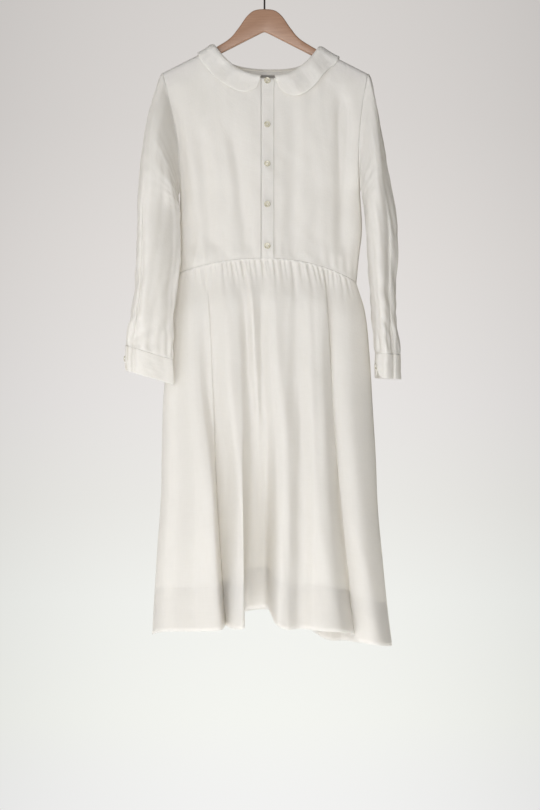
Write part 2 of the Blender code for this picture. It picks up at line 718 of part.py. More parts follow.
def make_buttons():
    for number, z in enumerate(BUTTON_HEIGHTS, 1):
        surface = bodice_point(BUTTON_X, z, True)
        above = bodice_point(BUTTON_X, z + 0.005, True)
        facing = Vector((0, -(above.z - surface.z), above.y - surface.y)).normalized()
        centre = surface + facing * (CLOTH + 2 * LIE + 0.0004)
        make_button("button_%d" % number, centre, facing)
    for name, side, u in (("right", -1, 0.975), ("left", 1, 0.975)):
        point = cuff_point(u, 0.5, side)
        across = cuff_point(u + 0.01, 0.5, side) - cuff_point(u - 0.01, 0.5, side)
        down = cuff_point(u, 0.6, side) - cuff_point(u, 0.4, side)
        facing = (down.cross(across) * -side).normalized()
        make_button("cuff_button_" + name, point + facing * 0.0006, facing)


def plate_outline():
    """The hanger's outline: hump and arms above, and a straight underside."""
    arm = [(x, -ARM_TOP - ARM_SLOPE * x) for x in (0.105, 0.150, ARM_REACH - 0.008)]
    tip_z = -ARM_TOP - ARM_SLOPE * ARM_REACH
    tip = [(ARM_REACH - 0.002, tip_z - 0.001), (ARM_REACH, tip_z - 0.006), (ARM_REACH - 0.002, tip_z - 0.0125)]
    under = [(x, -ARM_TOP - ARM_HEIGHT - ARM_SLOPE * x) for x in (ARM_REACH - 0.009, 0.150, 0.105, 0.060, 0.025)]
    half = [(x, -z) for x, z in HUMP] + arm + tip + under
    half.append((0.012, -ARM_TOP - ARM_HEIGHT - ARM_SLOPE * 0.0125))
    mirrored = [(-x, z) for x, z in reversed(half) if x > 0]
    lowest = (0.0, -ARM_TOP - ARM_HEIGHT - ARM_SLOPE * 0.002)
    return half + [lowest] + mirrored


def make_hanger():
    outline = plate_outline()
    bm = bmesh.new()
    front = bm.faces.new([bm.verts.new((x, -PLATE_HALF, z)) for x, z in outline])
    made = bmesh.ops.extrude_face_region(bm, geom=[front])
    for vert in (item for item in made["geom"] if isinstance(item, bmesh.types.BMVert)):
        vert.co.y = PLATE_HALF
    bmesh.ops.recalc_face_normals(bm, faces=bm.faces)
    mesh = bpy.data.meshes.new("hanger")
    bm.to_mesh(mesh)
    bm.free()
    hanger = add_object("hanger", mesh, WOOD)
    bevel = hanger.modifiers.new("round_edges", "BEVEL")
    bevel.width = 0.0032
    bevel.segments = 3
    bevel.limit_method = "ANGLE"
    bevel.angle_limit = radians(50)
    drill = bpy.data.meshes.new("shank_hole")
    bm = bmesh.new()
    bmesh.ops.create_cone(bm, cap_ends=True, segments=24, radius1=WIRE + SEAM, radius2=WIRE + SEAM, depth=0.030)
    bm.to_mesh(drill)
    bm.free()
    cutter = bpy.data.objects.new("shank_hole", drill)
    cutter.location = (0, 0, -SHANK_END - SEAM + 0.015)
    cutter.display_type = "WIRE"
    cutter.hide_render = True
    bpy.context.scene.collection.objects.link(cutter)
    hole = hanger.modifiers.new("shank_hole", "BOOLEAN")
    hole.operation = "DIFFERENCE"
    hole.object = cutter


def make_hook():
    """The wire hook: a straight shank, a bend out, and the round that goes over the rail."""
    centre = Vector((0, 0, WIRE - HOOK_RADIUS))
    join = radians(-50)
    points = [Vector((0, 0, -SHANK_END)), Vector((0, 0, -0.070))]
    start = Vector((0, 0, -SHANK_TOP))
    end = centre + Vector((cos(join), 0, sin(join))) * HOOK_RADIUS
    pull = 0.011
    first = start + Vector((0, 0, pull))
    second = end - Vector((-sin(join), 0, cos(join))) * pull
    for i in range(9):
        t = i / 9
        points.append(start * (1 - t) ** 3 + first * 3 * t * (1 - t) ** 2 + second * 3 * t * t * (1 - t) + end * t ** 3)
    turns = 18
    for i in range(turns + 1):
        angle = mix(join, radians(192), i / turns)
        points.append(centre + Vector((cos(angle), 0, sin(angle))) * HOOK_RADIUS)
    wire = bpy.data.curves.new("hanger_hook", "CURVE")
    wire.dimensions = "3D"
    wire.bevel_depth = WIRE
    wire.bevel_resolution = 2
    wire.use_fill_caps = True
    line = wire.splines.new("POLY")
    line.points.add(len(points) - 1)
    for spot, point in zip(line.points, points):
        spot.co = (*point, 1.0)
    add_object("hanger_hook", wire, STEEL)


def main():
    for item in list(bpy.data.objects):
        bpy.data.objects.remove(item, do_unlink=True)
    make_hanger()
    make_hook()
    make_bodice()
    make_skirt()
    make_sleeves()
    make_trim()
    make_buttons()


main()
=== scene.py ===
"""Looks of a linen shirt dress that hangs on a wooden hanger.

Every cloth piece is a curved sheet on the same form as its solid in the frame, drawn finer, with
its gathers, creases, stitching and weave. Metres, +Z up, the front faces -Y, and right and left
are the wearer's. The origin is where a rail carries the hook.
"""

import logging
from dataclasses import dataclass
from enum import Enum
from math import cos, pi, radians, sin
from typing import Optional, Sequence, Union

import bmesh
import bpy
import numpy as np
from mathutils import Matrix, Vector


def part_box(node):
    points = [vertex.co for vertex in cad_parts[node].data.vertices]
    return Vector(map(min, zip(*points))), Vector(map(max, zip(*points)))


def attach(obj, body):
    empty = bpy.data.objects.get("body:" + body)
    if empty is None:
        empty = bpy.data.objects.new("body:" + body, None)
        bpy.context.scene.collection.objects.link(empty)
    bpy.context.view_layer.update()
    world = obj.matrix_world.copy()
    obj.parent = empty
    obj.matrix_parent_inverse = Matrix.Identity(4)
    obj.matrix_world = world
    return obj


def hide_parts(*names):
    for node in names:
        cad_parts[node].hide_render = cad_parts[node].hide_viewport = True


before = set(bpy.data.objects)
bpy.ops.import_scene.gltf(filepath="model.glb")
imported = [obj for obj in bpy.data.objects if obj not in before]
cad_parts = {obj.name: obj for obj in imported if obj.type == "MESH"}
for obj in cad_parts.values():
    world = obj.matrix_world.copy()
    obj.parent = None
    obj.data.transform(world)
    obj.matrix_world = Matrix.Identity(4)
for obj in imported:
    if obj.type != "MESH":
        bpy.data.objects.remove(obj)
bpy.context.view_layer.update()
log = logging.getLogger("dress")

# The camera's distance, the size of one pixel of the photograph at the dress, and the photograph's
# size and hanging point in pixels
VIEW_DISTANCE = 3.5
PIXEL = 0.00195
PHOTO_WIDTH, PHOTO_HEIGHT = 540, 810
HANGING_POINT_PX = (264.5, -28.97)

# The thickness of the solids' walls and of the drawn cloth
WALL = 0.0015
CLOTH = 0.0006

# The height up to which the backdrop's glow is graded
GLOW_TOP = 0.32

Numbers = Union[float, np.ndarray]


class Side(Enum):
    """The wearer's side."""

    RIGHT = -1
    LEFT = 1


class Face(Enum):
    """The front or the back of the garment."""

    FRONT = -1
    BACK = 1


def mix(first: Numbers, second: Numbers, share: Numbers) -> Numbers:
    """A value between two others, for numbers and arrays alike."""
    return first + (second - first) * share


def smooth_step(low: float, high: float, value: Numbers) -> Numbers:
    """Rises smoothly from 0 at low to 1 at high; high may be below low."""
    share = np.clip((value - low) / (high - low), 0.0, 1.0)
    return share * share * (3.0 - 2.0 * share)


def bump(value: Numbers, middle: Numbers, half: Numbers) -> Numbers:
    """A soft hump of height 1 round a middle."""
    return np.exp(-(((value - middle) / half) ** 2))


def curve_at(places: Sequence[float], values: Sequence[float], at: Numbers) -> np.ndarray:
    """A smooth curve through the values, level beyond its ends.

    Args:
        places: where the values are given, rising.
        values: the values there.
        at: a number or an array of places to read.

    Returns:
        An array of the curve's values.
    """
    places = np.asarray(places, float)
    values = np.asarray(values, float)
    at = np.clip(at, places[0], places[-1])
    slopes = np.empty_like(values)
    slopes[1:-1] = (values[2:] - values[:-2]) / (places[2:] - places[:-2])
    slopes[0] = (values[1] - values[0]) / (places[1] - places[0])
    slopes[-1] = (values[-1] - values[-2]) / (places[-1] - places[-2])
    index = np.clip(np.searchsorted(places, at, side="right") - 1, 0, len(places) - 2)
    step = places[index + 1] - places[index]
    t = (at - places[index]) / step
    start = values[index] * (1 + 2 * t) * (1 - t) ** 2 + slopes[index] * step * t * (1 - t) ** 2
    return start + values[index + 1] * t * t * (3 - 2 * t) - slopes[index + 1] * step * t * t * (1 - t)


def across_levels(levels: Sequence[float], rows: Sequence[np.ndarray], at: Numbers) -> np.ndarray:
    """A smooth curve at every point of a grid, through one array of values for each level."""
    units = np.eye(len(levels))
    return sum(curve_at(levels, unit, at) * row for unit, row in zip(units, rows))


def columns(table: Sequence[Sequence[float]]) -> list[np.ndarray]:
    """The columns of a table of rows."""
    return [np.array(column, float) for column in zip(*table)]


def crumple(across: Numbers, down: Numbers, seed: float, width: float, length: float) -> Numbers:
    """Uneven soft waves like handled linen, from -1 to 1.

    Args:
        across: distance across the cloth, in metres.
        down: distance down the cloth, in metres.
        seed: a number that moves the pattern.
        width: the usual width of a crease, in metres.
        length: the usual length of a crease, in metres.

    Returns:
        The wave's height there.
    """
    a = across / width
    d = down / length
    wave = np.sin(a * 1.9 + 1.3 * np.sin(d * 1.1 + seed) + seed * 2.1)
    wave = wave * np.sin(d * 1.7 + 1.1 * np.sin(a * 0.8 + seed * 1.7) + seed)
    finer = np.sin(a * 3.7 + 1.9 * np.sin(d * 2.3 + seed * 0.6) + seed * 4.0)
    finer = finer * np.sin(d * 3.1 + 1.4 * np.sin(a * 1.3 - seed) + seed * 3.0)
    return 0.62 * wave + 0.38 * finer


def grid(us: np.ndarray, vs: np.ndarray) -> tuple[np.ndarray, np.ndarray]:
    """Two arrays, one row for each v and one column for each u."""
    return np.meshgrid(np.asarray(us, float), np.asarray(vs, float))


def points(x: Numbers, y: Numbers, z: Numbers) -> np.ndarray:
    """Three arrays as one array of points."""
    return np.stack(np.broadcast_arrays(x, y, z), axis=-1)


def normals_of(spots: np.ndarray, closed: bool, facing: int) -> np.ndarray:
    """Outward normals of a grid of points.

    Args:
        spots: the grid of points, rows down and columns across.
        closed: whether the last column joins the first.
        facing: 1 or -1, so that the normals point outwards.

    Returns:
        A unit normal at every point.
    """
    if closed:
        around = np.concatenate([spots[:, -1:], spots, spots[:, :1]], axis=1)
        across = around[:, 2:] - around[:, :-2]
    else:
        across = np.gradient(spots, axis=1)
    down = np.gradient(spots, axis=0)
    normal = np.cross(down, across) * facing
    return normal / np.maximum(np.linalg.norm(normal, axis=-1, keepdims=True), 1e-12)


@dataclass(frozen=True)
class Colour:
    """A colour as an sRGB hex value."""

    code: str

    def linear(self) -> tuple[float, float, float, float]:
        """The colour in linear values.

        Returns:
            Red, green, blue and a full alpha.
        """
        values = [int(self.code[i:i + 2], 16) / 255 for i in (1, 3, 5)]
        turned = [v / 12.92 if v <= 0.04045 else ((v + 0.055) / 1.055) ** 2.4 for v in values]
        return (*turned, 1.0)


def add_node(
    tree: bpy.types.NodeTree, kind: str, links: Optional[dict] = None, **settings: object
) -> bpy.types.Node:
    """Adds a node with its settings and links.

    Args:
        tree: the node tree.
        kind: the shader node's type, without its usual prefix.
        links: for each input's name or number, an output socket or a value.
        settings: the node's own properties.

    Returns:
        The node.
    """
    node = tree.nodes.new("ShaderNode" + kind)
    for name, value in settings.items():
        setattr(node, name, value)
    for name, value in (links or {}).items():
        if isinstance(value, bpy.types.NodeSocket):
            tree.links.new(value, node.inputs[name])
        else:
            node.inputs[name].default_value = value
    return node


def new_material(name: str) -> tuple[bpy.types.Material, bpy.types.NodeTree]:
    """An empty material with nodes.

    Args:
        name: the material's name.

    Returns:
        The material and its node tree.
    """
    material = bpy.data.materials.new(name)
    material.use_nodes = True
    material.node_tree.nodes.clear()
    return material, material.node_tree


@dataclass(frozen=True)
class Linen:
    """Washed plain-weave linen: dull, slubbed and thin enough to let light through.

    The weave's threads are 0.5 mm apart and too fine to show from here, so the slubs, which are
    thicker threads some millimetres apart, give the eye its fabric.
    """

    name: str = "linen_off_white"
    light: Colour = Colour("#F4F4F6")
    dark: Colour = Colour("#EEEEEF")
    glow: Colour = Colour("#F7F3E9")
    glow_share: float = 0.52
    slub_mm: float = 2.2
    slub_length_mm: float = 34.0
    crease_mm: float = 14.0

    def material(self) -> bpy.types.Material:
        """Builds the linen on the piece's own UV map, which is in metres.

        Returns:
            The material.
        """
        material, tree = new_material(self.name)
        place = add_node(tree, "UVMap", uv_map="cloth").outputs["UV"]
        heights = []
        for wide, long in ((self.slub_mm, self.slub_length_mm), (30.0, self.slub_mm * 0.9)):
            scale = (1000 / wide, 1000 / long, 1)
            stretched = add_node(tree, "Mapping", {"Vector": place, "Scale": scale}).outputs[0]
            look = {"Vector": stretched, "Scale": 1.0, "Detail": 3.0, "Roughness": 0.6}
            heights.append(add_node(tree, "TexNoise", look).outputs["Fac"])
        weave = add_node(tree, "Math", {0: heights[0], 1: heights[1]}, operation="ADD").outputs[0]
        look = {"Vector": place, "Scale": 1000 / self.crease_mm, "Detail": 4.0, "Roughness": 0.55}
        crease = add_node(tree, "TexNoise", look).outputs["Fac"]
        tone = add_node(tree, "MapRange", {"Value": weave, "From Min": 0.7, "From Max": 1.3}).outputs[0]
        tones = {"Factor": tone, "A": self.dark.linear(), "B": self.light.linear()}
        colour = add_node(tree, "Mix", tones, data_type="RGBA").outputs["Result"]
        relief = {"Height": crease, "Strength": 0.10, "Distance": 0.004}
        creased = add_node(tree, "Bump", relief).outputs[0]
        relief = {"Height": weave, "Strength": 0.22, "Distance": 0.0005, "Normal": creased}
        normal = add_node(tree, "Bump", relief).outputs[0]
        cloth = {
            "Base Color": colour,
            "Normal": normal,
            "Roughness": 0.88,
            "Sheen Weight": 0.12,
            "Sheen Roughness": 0.5,
            "Specular IOR Level": 0.25,
        }
        front = add_node(tree, "BsdfPrincipled", cloth).outputs[0]
        thin = {"Color": self.glow.linear(), "Normal": normal}
        through = add_node(tree, "BsdfTranslucent", thin).outputs[0]
        both = add_node(tree, "MixShader", {0: self.glow_share, 1: front, 2: through}).outputs[0]
        add_node(tree, "OutputMaterial", {"Surface": both})
        return material


@dataclass(frozen=True)
class Stained:
    """Satin brown wood: beech under a dark stain, sawn along the arms, with a soft varnish."""

    name: str = "stained_beech"
    light: Colour = Colour("#A27E66")
    dark: Colour = Colour("#8B6851")
    grain_mm: float = 2.4
    grain_along: float = 22

    def material(self) -> bpy.types.Material:
        """Builds wood whose grain runs along X.

        Returns:
            The material.
        """
        material, tree = new_material(self.name)
        place = add_node(tree, "TexCoord").outputs["Object"]
        fine = 1000 / self.grain_mm
        long = add_node(tree, "Mapping", {"Vector": place, "Scale": (self.grain_along, fine, fine)})
        look = {"Vector": long.outputs[0], "Scale": 1.0, "Detail": 5.0, "Roughness": 0.6}
        grain = add_node(tree, "TexNoise", look)
        ramp = add_node(tree, "ValToRGB", {"Fac": grain.outputs["Fac"]})
        ramp.color_ramp.elements[0].position = 0.2
        ramp.color_ramp.elements[0].color = self.dark.linear()
        ramp.color_ramp.elements[1].position = 0.8
        ramp.color_ramp.elements[1].color = self.light.linear()
        relief = {"Height": grain.outputs["Fac"], "Strength": 0.15, "Distance": 0.0004}
        pores = add_node(tree, "Bump", relief).outputs[0]
        varnish = {
            "Base Color": ramp.outputs["Color"],
            "Roughness": 0.42,
            "Coat Weight": 0.25,
            "Coat Roughness": 0.3,
            "Normal": pores,
        }
        shader = add_node(tree, "BsdfPrincipled", varnish)
        add_node(tree, "OutputMaterial", {"Surface": shader.outputs[0]})
        return material


@dataclass(frozen=True)
class Wire:
    """Dark lacquered steel wire."""

    name: str = "lacquered_steel"
    colour: Colour = Colour("#3B3633")

    def material(self) -> bpy.types.Material:
        """Builds the wire's finish, with faint rub marks in its roughness.

        Returns:
            The material.
        """
        material, tree = new_material(self.name)
        place = add_node(tree, "TexCoord").outputs["Object"]
        marks = add_node(tree, "TexNoise", {"Vector": place, "Scale": 260.0, "Detail": 3.0})
        worn = {"Value": marks.outputs["Fac"], "To Min": 0.28, "To Max": 0.48}
        rough = add_node(tree, "MapRange", worn).outputs[0]
        lacquer = {"Base Color": self.colour.linear(), "Metallic": 0.9, "Roughness": rough}
        shader = add_node(tree, "BsdfPrincipled", lacquer)
        add_node(tree, "OutputMaterial", {"Surface": shader.outputs[0]})
        return material


@dataclass(frozen=True)
class Shell:
    """Shell-look resin buttons: cream and olive clouds under a polished face."""

    name: str = "shell_resin"
    light: Colour = Colour("#D2CCBA")
    dark: Colour = Colour("#A39D86")
    cloud_scale: float = 240.0

    def material(self) -> bpy.types.Material:
        """Builds clouds about 4 mm across under a clear coat.

        Returns:
            The material.
        """
        material, tree = new_material(self.name)
        place = add_node(tree, "TexCoord").outputs["Object"]
        look = {"Vector": place, "Scale": self.cloud_scale, "Detail": 3.0, "Distortion": 0.8}
        cloud = add_node(tree, "TexNoise", look)
        ramp = add_node(tree, "ValToRGB", {"Fac": cloud.outputs["Fac"]})
        ramp.color_ramp.elements[0].position = 0.36
        ramp.color_ramp.elements[0].color = self.dark.linear()
        ramp.color_ramp.elements[1].position = 0.62
        ramp.color_ramp.elements[1].color = self.light.linear()
        polish = {
            "Base Color": ramp.outputs["Color"],
            "Roughness": 0.3,
            "Coat Weight": 0.6,
            "Coat Roughness": 0.12,
        }
        shader = add_node(tree, "BsdfPrincipled", polish)
        add_node(tree, "OutputMaterial", {"Surface": shader.outputs[0]})
        return material


@dataclass(frozen=True)
class Plain:
    """A plain woven or spun finish of one hue with a little noise, for the thread and the label."""

    name: str
    colour: Colour
    roughness: float = 0.85
    spread: float = 0.06
    scale: float = 400.0

    def material(self) -> bpy.types.Material:
        """Builds the finish on Object coordinates.

        Returns:
            The material.
        """
        material, tree = new_material(self.name)
        place = add_node(tree, "TexCoord").outputs["Object"]
        noise = add_node(tree, "TexNoise", {"Vector": place, "Scale": self.scale, "Detail": 2.0})
        limits = {"Value": noise.outputs["Fac"], "To Min": 1 - self.spread, "To Max": 1 + self.spread}
        level = add_node(tree, "MapRange", limits).outputs[0]
        tint = add_node(tree, "HueSaturation", {"Color": self.colour.linear(), "Value": level}).outputs[0]
        shader = add_node(tree, "BsdfPrincipled", {"Base Color": tint, "Roughness": self.roughness})
        add_node(tree, "OutputMaterial", {"Surface": shader.outputs[0]})
        return material


LINEN = Linen().material()
THREAD = Plain("cotton_thread", Colour("#EFECE4"), 0.8).material()
LABEL = Plain("woven_label", Colour("#85827E"), 0.75, 0.12, 900.0).material()
WOOD = Stained().material()
STEEL = Wire().material()
SHELL = Shell().material()


def add_piece(
    name: str, mesh: bpy.types.Mesh, finish: bpy.types.Material, slot: str, *nodes: str
) -> bpy.types.Object:
    """Puts a finished mesh in the scene as a piece of the dress.

    Args:
        name: the piece's name.
        mesh: its mesh, in place.
        finish: its material.
        slot: not used.
        nodes: the frame's nodes that it stands for.

    Returns:
        The piece.
    """
    piece = bpy.data.objects.new(name, mesh)
    bpy.context.scene.collection.objects.link(piece)
    mesh.materials.clear()
    mesh.materials.append(finish)
    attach(piece, "root")
    if nodes:
        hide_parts(*nodes)
    log.info("piece %s: %d faces", name, len(mesh.polygons))
    return piece


def cloth_mesh(
    name: str, spots: np.ndarray, closed: bool, facing: int
) -> tuple[bpy.types.Mesh, tuple[float, float]]:
    """A sheet of quads on a grid of points, with a UV map in metres.

    Args:
        name: the mesh's name.
        spots: the grid of points, rows down and columns across.
        closed: whether the last column joins the first.
        facing: 1 or -1, so that faces point outwards.

    Returns:
        The mesh, and the sheet's middle width and length.
    """
    rows, wide = spots.shape[:2]
    index = np.arange(rows * wide).reshape(rows, wide)
    right = np.roll(index, -1, axis=1) if closed else index[:, 1:]
    left = index if closed else index[:, :-1]
    quads = np.stack([left[:-1], left[1:], right[1:], right[:-1]], axis=-1).reshape(-1, 4)
    if facing < 0:
        quads = quads[:, ::-1]
    mesh = bpy.data.meshes.new(name)
    mesh.from_pydata(spots.reshape(-1, 3).tolist(), [], quads.tolist())
    looped = np.concatenate([spots, spots[:, :1]], axis=1) if closed else spots
    across = np.linalg.norm(np.diff(looped, axis=1), axis=-1)
    down = np.linalg.norm(np.diff(spots, axis=0), axis=-1)
    place_u = np.concatenate([[0.0], np.cumsum(across.mean(axis=0))])
    place_v = np.concatenate([[0.0], np.cumsum(down.mean(axis=1))])
    layer = mesh.uv_layers.new(name="cloth")
    loops = np.empty(len(mesh.loops), dtype=np.int64)
    mesh.loops.foreach_get("vertex_index", loops)
    column = loops % wide
    row = loops // wide
    if closed:
        quad_columns = column.reshape(-1, 4)
        wraps = (quad_columns.max(axis=1) - quad_columns.min(axis=1)) > 1
        quad_columns[wraps] = np.where(quad_columns[wraps] == 0, wide, quad_columns[wraps])
        column = quad_columns.reshape(-1)
    layer.data.foreach_set("uv", np.stack([place_u[column], -place_v[row]], axis=-1).reshape(-1))
    mesh.polygons.foreach_set("use_smooth", np.ones(len(mesh.polygons), dtype=bool))
    mesh.update()
    return mesh, (float(across.sum(axis=1).mean()), float(down.sum(axis=0).mean()))


def add_cloth(
    name: str,
    spots: np.ndarray,
    nodes: Sequence[str],
    closed: bool = False,
    facing: int = 1,
    lift: float = 0.0,
    thick: float = CLOTH,
    finish: Optional[bpy.types.Material] = None,
    slot: str = "linen",
    held: str = "hung",
    on: Sequence[str] = ("hanger",),
) -> bpy.types.Object:
    """Makes a sheet of cloth with its thickness.

    Args:
        name: the piece's name.
        spots: its outer face as a grid of points.
        nodes: the frame's nodes that it stands for.
        closed: whether it is a tube.
        facing: 1 or -1, so that faces point outwards.
        lift: how far it is moved out from the points.
        thick: its thickness.
        finish: its material, linen by default.
        slot: passed on to add_piece, which does not use it.
        held: not used.
        on: not used.

    Returns:
        The piece.
    """
    if lift:
        spots = spots + normals_of(spots, closed, facing) * lift
    mesh, flat = cloth_mesh(name, spots, closed, facing)
    piece = add_piece(name, mesh, finish or LINEN, slot, *nodes)
    wall = piece.modifiers.new("cloth_thickness", "SOLIDIFY")
    wall.thickness = thick
    wall.offset = -1.0
    return piece


def seam_line(
    name: str, path: np.ndarray, outward: np.ndarray, stitch: float = 0.0030, gap: float = 0.0012
) -> None:
    """A row of machine stitches: short raised threads along a path on the cloth.

    Args:
        name: the piece's name.
        path: points of the seam.
        outward: the cloth's normals there.
        stitch: length of a stitch.
        gap: length of cloth between stitches.
    """
    steps = np.linalg.norm(np.diff(path, axis=0), axis=1)
    way = np.concatenate([[0.0], np.cumsum(steps)])
    starts = np.arange(0.0, way[-1] - stitch, stitch + gap)
    half_width = 0.0002
    full_height = 0.0003
    # Along a stitch: share of its length, of its height and of its width
    shape = ((0.0, 0.15, 0.35), (0.2, 1.0, 1.0), (0.8, 1.0, 1.0), (1.0, 0.15, 0.35))

    def read(rows: np.ndarray, at: float) -> np.ndarray:
        """Reads the rows at a length along the seam."""
        return np.array([np.interp(at, way, rows[:, k]) for k in range(3)])

    verts, faces = [], []
    for start in starts:
        base = len(verts)
        ends = [read(path, start + stitch * t) for t, _, _ in shape]
        up = read(outward, start + stitch / 2)
        up = up / np.linalg.norm(up)
        along = ends[-1] - ends[0]
        beside = np.cross(up, along / max(np.linalg.norm(along), 1e-9))
        for spot, (_, height, width) in zip(ends, shape):
            top = spot + up * (full_height * height)
            side = beside * half_width * width
            verts += [spot - side, top, spot + side]
        for k in range(3):
            low = base + 3 * k
            faces += [(low, low + 3, low + 4, low + 1), (low + 1, low + 4, low + 5, low + 2)]
        faces += [(base, base + 1, base + 2), (base + 11, base + 10, base + 9)]
    mesh = bpy.data.meshes.new(name)
    mesh.from_pydata([tuple(v) for v in verts], [], faces)
    mesh.polygons.foreach_set("use_smooth", np.ones(len(mesh.polygons), dtype=bool))
    mesh.update()
    add_piece(name, mesh, THREAD, "linen")


@dataclass
class Bodice:
    """The dress above the waist: two fronts, the back, the button band and the neck's trim."""

    arm_slope: float = 0.51
    ridge_top: float = 0.0978
    round_radius: float = 0.0095
    flare: float = 0.077
    shoulder_x: float = 0.198
    shoulder_left: float = 0.202
    underarm_z: float = -0.427
    neck_centre: float = 0.004
    neck_half: float = 0.104
    neck_front: float = 0.0600
    neck_back: float = 0.0420
    band_right: float = -0.0058
    band_left: float = 0.0185
    waist_middle_z: float = -0.5650
    label_x: float = 0.0023
    label_half: float = 0.0185
    label_height: float = 0.0115
    binding_height: float = 0.010
    # Rows: height, right edge, left edge
    edge_rows: tuple = (
        (-0.198, -0.198, 0.202),
        (-0.271, -0.181, 0.190),
        (-0.330, -0.170, 0.184),
        (-0.388, -0.1655, 0.184),
        (-0.427, -0.165, 0.186),
        (-0.505, -0.165, 0.190),
        (-0.560, -0.166, 0.184),
        (-0.620, -0.167, 0.178),
    )
    # Rows: top x, top z, low x, low z, half width, depth
    fold_rows: tuple = (
        (-0.176, -0.245, -0.140, -0.560, 0.012, 0.009),
        (-0.126, -0.300, -0.100, -0.560, 0.014, 0.008),
        (-0.062, -0.310, -0.030, -0.560, 0.012, 0.007),
        (0.057, -0.250, 0.054, -0.560, 0.014, 0.005),
        (0.152, -0.240, 0.149, -0.560, 0.013, 0.012),
    )

    def ridge_z(self, x: Numbers) -> Numbers:
        """Height of the cloth where it runs over the hanger's arms."""
        return -self.ridge_top - self.arm_slope * np.sqrt(x * x + 0.0002)

    def neck_z(self, x: Numbers, face: Face) -> Numbers:
        """Height of the neckline.

        Args:
            x: the place across.
            face: the front or the back of the neck.

        Returns:
            The neckline's z there.
        """
        across = np.minimum(np.abs(x - self.neck_centre) / self.neck_half, 1.0)
        right = self.ridge_z(self.neck_centre - self.neck_half)
        left = self.ridge_z(self.neck_centre + self.neck_half)
        point = mix(right, left, smooth_step(-self.neck_half, self.neck_half, x - self.neck_centre))
        if face is Face.FRONT:
            return point - self.neck_front * (1 - across ** 2.4) ** 0.91
        return point - self.neck_back * (1 - across ** 3) ** 0.62

    def top_z(self, x: Numbers, face: Face) -> Numbers:
        """Top edge: the neckline, and the shoulder beyond it."""
        inside = np.abs(x - self.neck_centre) < self.neck_half
        return np.where(inside, self.neck_z(x, face), self.ridge_z(x))

    def waist_z(self, x: Numbers) -> Numbers:
        """Height of the waist seam, which hangs lower at the sides.

        Args:
            x: the place across.

        Returns:
            The seam's z there.
        """
        side = np.where(x < 0, -0.166, 0.179)
        drop = np.where(x < 0, 0.026, 0.044)
        return self.waist_middle_z - drop * np.abs(x / side) ** 2.2

    def edges(self, z: Numbers) -> tuple[np.ndarray, np.ndarray]:
        """Right and left edges of the bodice at a height."""
        heights, right, left = columns(self.edge_rows)
        return curve_at(-heights, right, -z), curve_at(-heights, left, -z)

    def edge(self, z: Numbers, side: Side) -> np.ndarray:
        """One edge of the bodice at a height."""
        return self.edges(z)[side is Side.LEFT]

    def waist_end(self, side: Side) -> float:
        """Where the side seam meets the waist seam.

        Args:
            side: the wearer's side.

        Returns:
            The meeting point's x.
        """
        x = side.value * 0.17
        for _ in range(8):
            x = float(self.edge(self.waist_z(np.float64(x)), side))
        return x

    def depth(self, x: Numbers, z: Numbers) -> np.ndarray:
        """How far the cloth stands from the hanger's plane.

        Args:
            x: the place across.
            z: the height.

        Returns:
            The distance, rounded over the arm and then growing downwards.
        """
        radius = self.round_radius
        drop = np.maximum(self.ridge_z(x) - z, 0.0)
        rounded = np.sqrt(np.maximum(drop * (2 * radius - drop), 0.0))
        return np.where(drop < radius, rounded, radius + self.flare * (drop - radius))

    def section_share(self, x: Numbers, z: Numbers) -> np.ndarray:
        """Share of the depth left: none at the side seam, all along the armhole's top.

        Args:
            x: the place across.
            z: the height.

        Returns:
            A share from 0 to 1.
        """
        right, left = self.edges(z)
        across = np.minimum(np.abs(x - (right + left) / 2) / ((left - right) / 2), 1.0)
        rounded = np.sqrt(np.maximum(1 - across ** 2.5, 0.0))
        share = np.clip((z + self.shoulder_x) / (self.underarm_z + self.shoulder_x), 0.0, 1.0)
        open_share = (1 - share ** 3) ** 0.8
        return open_share + (1 - open_share) * rounded

    def folds(self, x: Numbers, z: Numbers) -> np.ndarray:
        """Depth of the front's soft valleys.

        Args:
            x: the place across.
            z: the height.

        Returns:
            How far the valleys reach in.
        """
        total = np.zeros_like(x * z)
        for x_top, z_top, x_low, z_low, half, depth in self.fold_rows:
            share = np.clip((z_top - z) / (z_top - z_low), 0.0, 1.0)
            grow = smooth_step(z_top + 0.03, z_top - 0.06, z) * smooth_step(-0.562, -0.530, z)
            total = total + depth * grow * bump(x, mix(x_top, x_low, share), half)
        return total

    def creases(self, x: Numbers, z: Numbers, face: Face) -> Numbers:
        """Fine unevenness of the bodice, from the seam's puckers and from handling.

        Args:
            x: the place across.
            z: the height.
            face: the front or the back.

        Returns:
            How far the cloth stands out.
        """
        seam = z - self.waist_z(x)
        near_waist = smooth_step(0.055, 0.010, seam)
        puckers = np.cos(x * 2 * pi / 0.0165 + 1.2 * np.sin(x * 31)) * (0.6 + 0.4 * np.sin(x * 47 + 1))
        low = smooth_step(0.16, 0.02, seam)
        long = crumple(x, z, 1.3 if face is Face.FRONT else 4.1, 0.020, 0.11)
        wide = crumple(x + 0.35 * z, z, 2.2 if face is Face.FRONT else 5.3, 0.034, 0.060)
        hold = smooth_step(0.010, 0.05, self.ridge_z(x) - z) * smooth_step(0.0, 0.016, seam)
        return hold * (0.0011 * puckers * near_waist + 0.0016 * long * (0.5 + low) + 0.0013 * wide)

